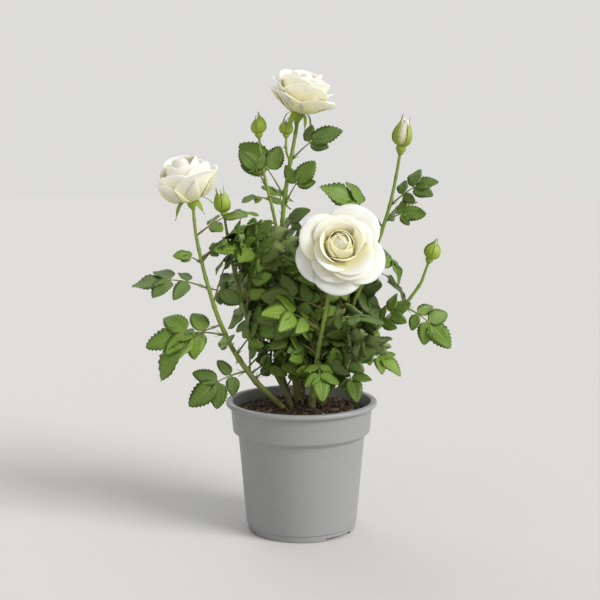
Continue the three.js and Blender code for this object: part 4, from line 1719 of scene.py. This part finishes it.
@dataclass
class Bud(Flower):
    """A bud: wrapped petals, five sepals that hug or flare, and a small hip."""

    radius: float = 5 * MM
    height: float = 17 * MM
    opening: float = 0.0
    flare: float = 0.0
    tail: float = 1.35
    sepal_width: float = 1.8
    warmth: tuple[float, float] = (0.9, 0.35)

    def build(self, petal: bpy.types.Material, calyx: bpy.types.Material) -> list[bpy.types.Object]:
        """Close the bud's petals and lay its sepals over them.

        Args:
            petal: The petals' material.
            calyx: The hip's and the sepals' material.

        Returns:
            The petals and the calyx.
        """
        foot = 0.20 * self.height
        tall = self.height - foot
        root = 0.30 * self.radius
        core = (0.84 + 0.30 * self.opening) * tall
        outer = Blade(core * 1.06, 2.6 * self.radius,
                      (60 + 14 * self.opening, 22 + 8 * self.opening, -6, -24, -36 + 8 * self.opening, -32),
                      root, foot, 0.95, roll=0.0, wave=0.0, overlap=0.07 * self.radius, shoulder=0.30,
                      wrap=1.5, tightest=0.05, warmth=self.warmth)
        inner = Blade(core, 2.0 * self.radius, (44, 10, -10, -24, -34, -34), 0.8 * root, foot, 0.85, roll=0.0,
                      wave=0.0, overlap=0.07 * self.radius, shoulder=0.20, wrap=1.5, tightest=0.05,
                      warmth=self.warmth)
        snug = {"untidiness": 0.03, "size_spread": 0.02, "step": 0.06 * self.radius, "looseness": 0.0}
        petals = self._petals([Whorl(outer, 3, 0.4, **snug), Whorl(inner, 3, 1.1, **snug)], petal, 0.25 * MM)
        out = 60 * self.flare
        sepal = Blade(tall * self.tail, self.sepal_width * self.radius,
                      (72, 32, -11 + 0.1 * out, -36 + 0.6 * out, -42 + 1.3 * out, -2 + 1.3 * out),
                      0.40 * self.radius, 0.92 * foot, 1.0, roll=0.0, wave=0.0, overlap=0.09 * self.radius,
                      pointed=True, warmth=(0.05, 0.45))
        sepals = Whorl(sepal, 5, 0.2, 0.10, 0.07)
        hip = [(share * self.height, wide * self.radius) for share, wide in
               ((-0.06, 0.28), (-0.02, 0.33), (0.03, 0.46), (0.08, 0.57), (0.13, 0.58), (0.18, 0.50),
                (0.22, 0.46), (0.26, 0.50))]
        green = self._calyx([sepals], hip, calyx, 0.5 * MM)
        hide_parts(self.name)
        return [petals, green]


def front_bloom_whorls() -> list[Whorl]:
    """A fully open bloom with a closed, egg-shaped heart."""
    guard = Blade(34 * MM, 42 * MM, (88, 82, 78, 82, 88, 98), flatness=1.7, cup=1.0 * MM, roll=2.4 * MM,
                  wave=1.2 * MM, overlap=1.2 * MM, warmth=(0.60, 0.0))
    second = Blade(29 * MM, 38 * MM, (85, 74, 64, 62, 68, 84), flatness=1.5, cup=0.8 * MM, roll=2.2 * MM,
                   wave=0.9 * MM, overlap=1.5 * MM, warmth=(0.80, 0.0))
    third = Blade(27 * MM, 35 * MM, (82, 62, 46, 40, 44, 66), flatness=1.3, roll=2.0 * MM, wave=0.6 * MM,
                  overlap=1.5 * MM, warmth=(1.0, 0.0), shoulder=0.38)
    # The inner whorls keep much yellow at their tips: their own yellow and painted glow for light in the deep
    # gaps
    ring = Blade(25.5 * MM, 32 * MM, (78, 52, 26, 12, 8, 26), flatness=1.1, roll=1.4 * MM, wave=0.4 * MM,
                 overlap=1.3 * MM, warmth=(1.0, 0.14), shoulder=0.30)
    shell = Blade(24.5 * MM, 31 * MM, (75, 50, 18, -2, -14, -10), flatness=1.05, roll=0.6 * MM, wave=0.2 * MM,
                  overlap=1.2 * MM, warmth=(1.0, 0.26), shoulder=0.22)
    collar = Blade(23.5 * MM, 31 * MM, (74, 49, 16, -8, -22, -28), flatness=1.03, roll=0.2 * MM,
                   wave=0.1 * MM, overlap=1.1 * MM, warmth=(1.0, 0.46), shoulder=0.2)
    heart = Blade(26 * MM, 34 * MM, (70, 42, 6, -26, -58, -74), lift=7.5 * MM, flatness=1.02, roll=0.0,
                  wave=0.0, overlap=0.9 * MM, warmth=(1.0, 0.36), shoulder=0.16, wrap=1.35, tightest=0.03)
    core = Blade(24 * MM, 24 * MM, (66, 38, 4, -32, -60, -80), lift=8.5 * MM, flatness=1.0, roll=0.0,
                 wave=0.0, overlap=0.5 * MM, warmth=(1.0, 0.50), shoulder=0.10, wrap=1.7, tightest=0.03)
    return [Whorl(guard, 5, 0.94, 0.16, 0.08, looseness=5.0),
            Whorl(second, 5, 0.30, 0.14, 0.07, looseness=5.0),
            Whorl(third, 4, 0.9, 0.12, looseness=4.0), Whorl(ring, 4, 0.3), Whorl(shell, 3, 1.1),
            Whorl(collar, 3, 0.1), Whorl(heart, 3, 0.7, 0.04, 0.02, looseness=0.0),
            Whorl(core, 2, 1.0, 0.04, 0.02, looseness=0.0)]


def top_bloom_whorls() -> list[Whorl]:
    """A full cup seen from the side, its guard petals reaching out level with the cup."""
    guard = Blade(29 * MM, 42 * MM, (85, 68, 50, 46, 52, 70), flatness=1.3, cup=1.0 * MM, roll=2.4 * MM,
                  wave=1.1 * MM, overlap=1.4 * MM, warmth=(0.95, 0.02))
    second = Blade(31.5 * MM, 41 * MM, (80, 60, 36, 25, 29, 48), flatness=1.15, roll=2.2 * MM, wave=0.8 * MM,
                   overlap=1.5 * MM, warmth=(0.9, 0.02), shoulder=0.38)
    third = Blade(32 * MM, 39 * MM, (75, 53, 25, 9, 7, 22), flatness=1.08, roll=1.8 * MM, wave=0.6 * MM,
                  overlap=1.4 * MM, warmth=(0.85, 0.04), shoulder=0.32)
    ring = Blade(33 * MM, 37 * MM, (70, 45, 16, -2, -10, 0), flatness=1.02, roll=1.2 * MM, wave=0.4 * MM,
                 overlap=1.3 * MM, warmth=(0.9, 0.06), shoulder=0.26)
    shell = Blade(33.5 * MM, 33 * MM, (62, 36, 8, -14, -28, -30), flatness=1.0, roll=0.4 * MM, wave=0.2 * MM,
                  overlap=1.1 * MM, warmth=(0.95, 0.12), shoulder=0.2)
    heart = Blade(31 * MM, 28 * MM, (52, 24, -4, -24, -42, -50), flatness=0.95, roll=0.0, wave=0.0,
                  overlap=1.0 * MM, warmth=(1.0, 0.22), shoulder=0.16, wrap=1.4)
    core = Blade(28 * MM, 18 * MM, (34, 10, -6, -18, -32, -40), flatness=0.85, roll=0.0, wave=0.0,
                 overlap=0.8 * MM, warmth=(1.0, 0.35), shoulder=0.16)
    return [Whorl(guard, 4, 0.75, looseness=4.0), Whorl(second, 4, 0.1, looseness=4.0),
            Whorl(third, 4, 0.95, looseness=2.0), Whorl(ring, 4, 0.2), Whorl(shell, 4, 0.8),
            Whorl(heart, 3, 0.1), Whorl(core, 2, 0.6)]


def left_bloom_whorls() -> list[Whorl]:
    """A round, half-open cup with its heart still wrapped."""
    guard = Blade(31 * MM, 38 * MM, (84, 70, 44, 26, 22, 44), flatness=1.15, roll=2.0 * MM, wave=0.8 * MM,
                  overlap=1.4 * MM, warmth=(0.95, 0.03), shoulder=0.36)
    second = Blade(34 * MM, 38 * MM, (80, 61, 33, 7, -4, 8), flatness=1.06, roll=1.6 * MM, wave=0.6 * MM,
                   overlap=1.4 * MM, warmth=(0.85, 0.03), shoulder=0.28)
    third = Blade(34 * MM, 37 * MM, (72, 51, 21, -4, -18, -16), flatness=1.02, roll=1.0 * MM, wave=0.4 * MM,
                  overlap=1.3 * MM, warmth=(0.85, 0.05), shoulder=0.22)
    shell = Blade(34 * MM, 33 * MM, (62, 38, 8, -14, -31, -38), flatness=1.0, roll=0.4 * MM, wave=0.2 * MM,
                  overlap=1.1 * MM, warmth=(0.9, 0.10), shoulder=0.18)
    heart = Blade(32 * MM, 27 * MM, (50, 24, -2, -22, -42, -52), flatness=0.95, roll=0.0, wave=0.0,
                  overlap=1.0 * MM, warmth=(1.0, 0.20), shoulder=0.16, wrap=1.4)
    core = Blade(29 * MM, 17 * MM, (32, 8, -6, -18, -30, -40), flatness=0.85, roll=0.0, wave=0.0,
                 overlap=0.8 * MM, warmth=(1.0, 0.30), shoulder=0.16)
    return [Whorl(guard, 4, 0.5, looseness=4.0), Whorl(second, 4, 1.2), Whorl(third, 4, 0.2),
            Whorl(shell, 4, 0.9), Whorl(heart, 3, 0.4), Whorl(core, 2, 0.0)]


def hanging_sepals(length: float, leans: tuple[float, ...], turn: float) -> list[Whorl]:
    """Five sepals turned back below a bloom."""
    sepal = Blade(length, 4.4 * MM, leans, 2.9 * MM, 6.0 * MM, 1.4, roll=-0.5 * MM, wave=0.3 * MM,
                  overlap=0.0, pointed=True, warmth=(0.15, 0.75), columns=5)
    return [Whorl(sepal, 5, turn, 0.16, 0.10)]


# ---------------------------------------------------------------- studio

@dataclass
class Studio:
    """A pale floor, soft lights and the camera."""

    eye: Triple = (-1.2 * MM, -900 * MM, 299 * MM)
    pitch: float = math.radians(7.3)
    lens: float = 69.1
    floor_radius: float = 7.0
    floor_colour: Colour = (0.62, 0.615, 0.60, 1.0)
    room_colour: Colour = (1.0, 0.995, 0.975, 1.0)
    room_light: float = 0.57
    room_brightness: float = 0.72

    def _floor(self) -> bpy.types.Object:
        """Lay the floor."""
        hands_off()
        bpy.ops.mesh.primitive_circle_add(vertices=96, radius=self.floor_radius, fill_type="NGON",
                                          location=(0, 0, -0.0002))
        floor = bpy.context.active_object
        floor.name = "studio_floor"
        material = bpy.data.materials.new("pale_floor")
        material.use_nodes = True
        shader = material.node_tree.nodes["Principled BSDF"]
        shader.inputs["Base Color"].default_value = self.floor_colour
        shader.inputs["Roughness"].default_value = 0.75
        floor.data.materials.append(material)
        return floor

    @staticmethod
    def _soft_light(name: str, direction: Triple, strength: float, softness: float,
                    colour: Triple) -> None:
        """Hang a far, soft light that shines from a direction."""
        data = bpy.data.lights.new(name, "SUN")
        data.energy = strength
        data.angle = math.radians(softness)
        data.color = colour
        light = bpy.data.objects.new(name, data)
        light.rotation_euler = (-Vector(direction)).to_track_quat("-Z", "Y").to_euler()
        bpy.context.scene.collection.objects.link(light)

    def _world(self) -> None:
        """A pale room: seen a little brighter than it lights."""
        world = bpy.data.worlds.new("pale_room")
        world.use_nodes = True
        nodes, links = world.node_tree.nodes, world.node_tree.links
        sky = nodes["Background"]
        sky.inputs["Color"].default_value = self.room_colour
        path = nodes.new("ShaderNodeLightPath")
        strength = nodes.new("ShaderNodeMapRange")
        strength.inputs["To Min"].default_value = self.room_light
        strength.inputs["To Max"].default_value = self.room_brightness
        links.new(path.outputs["Is Camera Ray"], strength.inputs["Value"])
        links.new(strength.outputs["Result"], sky.inputs["Strength"])
        bpy.context.scene.world = world

    def build(self) -> None:
        """Set up the floor, the lights and the camera."""
        self._floor()
        self._world()
        bpy.context.scene.view_settings.view_transform = "Standard"
        self._soft_light("key", (1.25, -0.80, 1.0), 2.75, 30.0, (1.0, 0.985, 0.95))
        self._soft_light("rim", (-0.5, 1.0, 1.1), 0.5, 40.0, (0.97, 0.98, 1.0))
        data = bpy.data.cameras.new("camera")
        data.lens = self.lens
        data.clip_start, data.clip_end = 0.02, 40.0
        camera = bpy.data.objects.new("camera", data)
        camera.location = self.eye
        camera.rotation_euler = (math.pi / 2 - self.pitch, 0.0, 0.0)
        bpy.context.scene.collection.objects.link(camera)
        bpy.context.scene.camera = camera


# ---------------------------------------------------------------- the plant

@dataclass
class PatioRose:
    """The whole plant in its pot, built sub-assembly by sub-assembly."""

    nodes: dict[str, bpy.types.Object]
    effects: Effects
    made: list[bpy.types.Object] = field(default_factory=list)

    def __post_init__(self) -> None:
        """Read the canes from the frame and make the finishes."""
        self.paths = {name: LimbPath.from_node(node) for name, node in self.nodes.items()
                      if name.startswith("cane_")}
        self.petal = PetalFinish().make(self.effects)
        self.calyx = SepalFinish().make(self.effects)
        self.bark = BarkFinish().make(self.effects)
        self.stalk = StalkFinish().make(self.effects)

    def _log(self, pieces: list[bpy.types.Object]) -> None:
        """Report pieces and keep them."""
        for piece in pieces:
            LOG.info("%s: %d faces", piece.name, len(piece.data.polygons))
        self.made += pieces

    def pot(self) -> None:
        """Build the pot and its soil."""
        low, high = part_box("pot")
        radius = 0.5 * (high[0] - low[0])
        pot = NurseryPot(rim_radius=radius, height=high[2])
        self._log([pot.build(PlasticFinish().make(self.effects))])
        peats = [
            PeatFinish("dark_peat", (0.018, 0.012, 0.007, 1.0), (0.070, 0.046, 0.026, 1.0)),
            PeatFinish("brown_bark", (0.045, 0.024, 0.013, 1.0), (0.115, 0.066, 0.036, 1.0)),
            PeatFinish("pale_splinter", (0.11, 0.070, 0.038, 1.0), (0.24, 0.165, 0.095, 1.0)),
        ]
        inner = pot.body_top_radius + 2.0 * MM
        soil = PeatSoil(np.random.default_rng(SEED + 1), inner)
        self._log(soil.build([peat.make(self.effects) for peat in peats]))

    def canes(self) -> None:
        """Build every cane and the thorns on them."""
        soil_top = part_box("soil")[1][2]
        for name, path in self.paths.items():
            cane = Cane(name.replace("cane_", "stem_"), path, path.points[0, 2] < soil_top + 8 * MM)
            piece = cane.build(self.bark)
            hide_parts(name)
            self._log([piece])
        thorns = Thorns(np.random.default_rng(SEED + 2))
        self._log([thorns.build(self.paths, ThornFinish().make(self.effects))])

    def flowers(self) -> None:
        """Build the blooms and the buds."""
        rng = np.random.default_rng(SEED + 3)
        blooms = (
            ("bloom_top", "cane_top_bloom", (0.2, -0.1, 1.0), 1.05, top_bloom_whorls(),
             hanging_sepals(19 * MM, (80, 130, 168, 172, 165), 0.5)),
            ("bloom_left", "cane_left_bloom", (-0.25, -0.15, 1.0), 1.10, left_bloom_whorls(),
             hanging_sepals(17 * MM, (80, 112, 140, 150, 140), 0.3)),
            ("bloom_front", "cane_front_bloom", (0.06, -0.92, 0.38), 1.0, front_bloom_whorls(),
             hanging_sepals(18 * MM, (80, 110, 140, 150, 150), 0.0)),
        )
        for name, cane, axis, scale, whorls, sepals in blooms:
            bloom = Bloom(name, self.paths[cane], np.array(axis), rng, scale=scale,
                          whorls=whorls, sepals=sepals)
            self._log(bloom.build(self.petal, self.calyx))
        buds = (
            ("bud_top_left", "cane_top_bud", {"radius": 5.6 * MM, "height": 17 * MM}),
            ("bud_top_middle", "cane_second_bud", {"radius": 4.6 * MM, "height": 13 * MM}),
            ("bud_right_opening", "cane_right_opening",
             {"radius": 7.2 * MM, "height": 29 * MM, "opening": 0.5, "tail": 1.2, "flare": 0.2,
              "sepal_width": 0.76, "warmth": (0.75, 0.20)}),
            ("bud_left", "cane_left_bud", {"radius": 5 * MM, "height": 19 * MM, "flare": 0.35, "tail": 1.4}),
            ("bud_right_low", "cane_right_low",
             {"radius": 5.6 * MM, "height": 17 * MM, "opening": 0.2, "sepal_width": 1.45}),
        )
        for name, cane, sizes in buds:
            path = self.paths[cane]
            axis = unit(path.points[-1] - path.points[-5])
            self._log(Bud(name, path, axis, rng, **sizes).build(self.petal, self.calyx))

    def leaves(self) -> None:
        """Grow the leaves."""
        clear = []
        for name in self.nodes:
            if name.startswith(("bloom_", "bud_")):
                low, high = (np.array(corner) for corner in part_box(name))
                clear.append((0.5 * (low + high), 0.52 * float((high - low).max())))
        crown = Crown(self.nodes, self.paths, clear, np.random.default_rng(SEED))
        finishes = {tone: finish.make(self.effects) for tone, finish in LEAF_FINISHES.items()}
        self._log(crown.build(finishes, self.stalk))


def main() -> None:
    """Build the rose around its frame."""
    logging.basicConfig(level=logging.INFO, format="%(name)s: %(message)s")
    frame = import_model()
    hands_off()
    rose = PatioRose(frame["nodes"], Effects())
    rose.pot()
    rose.canes()
    rose.flowers()
    rose.leaves()
    Studio().build()
    LOG.info("%d pieces made", len(rose.made))


if __name__ == "__main__":
    main()
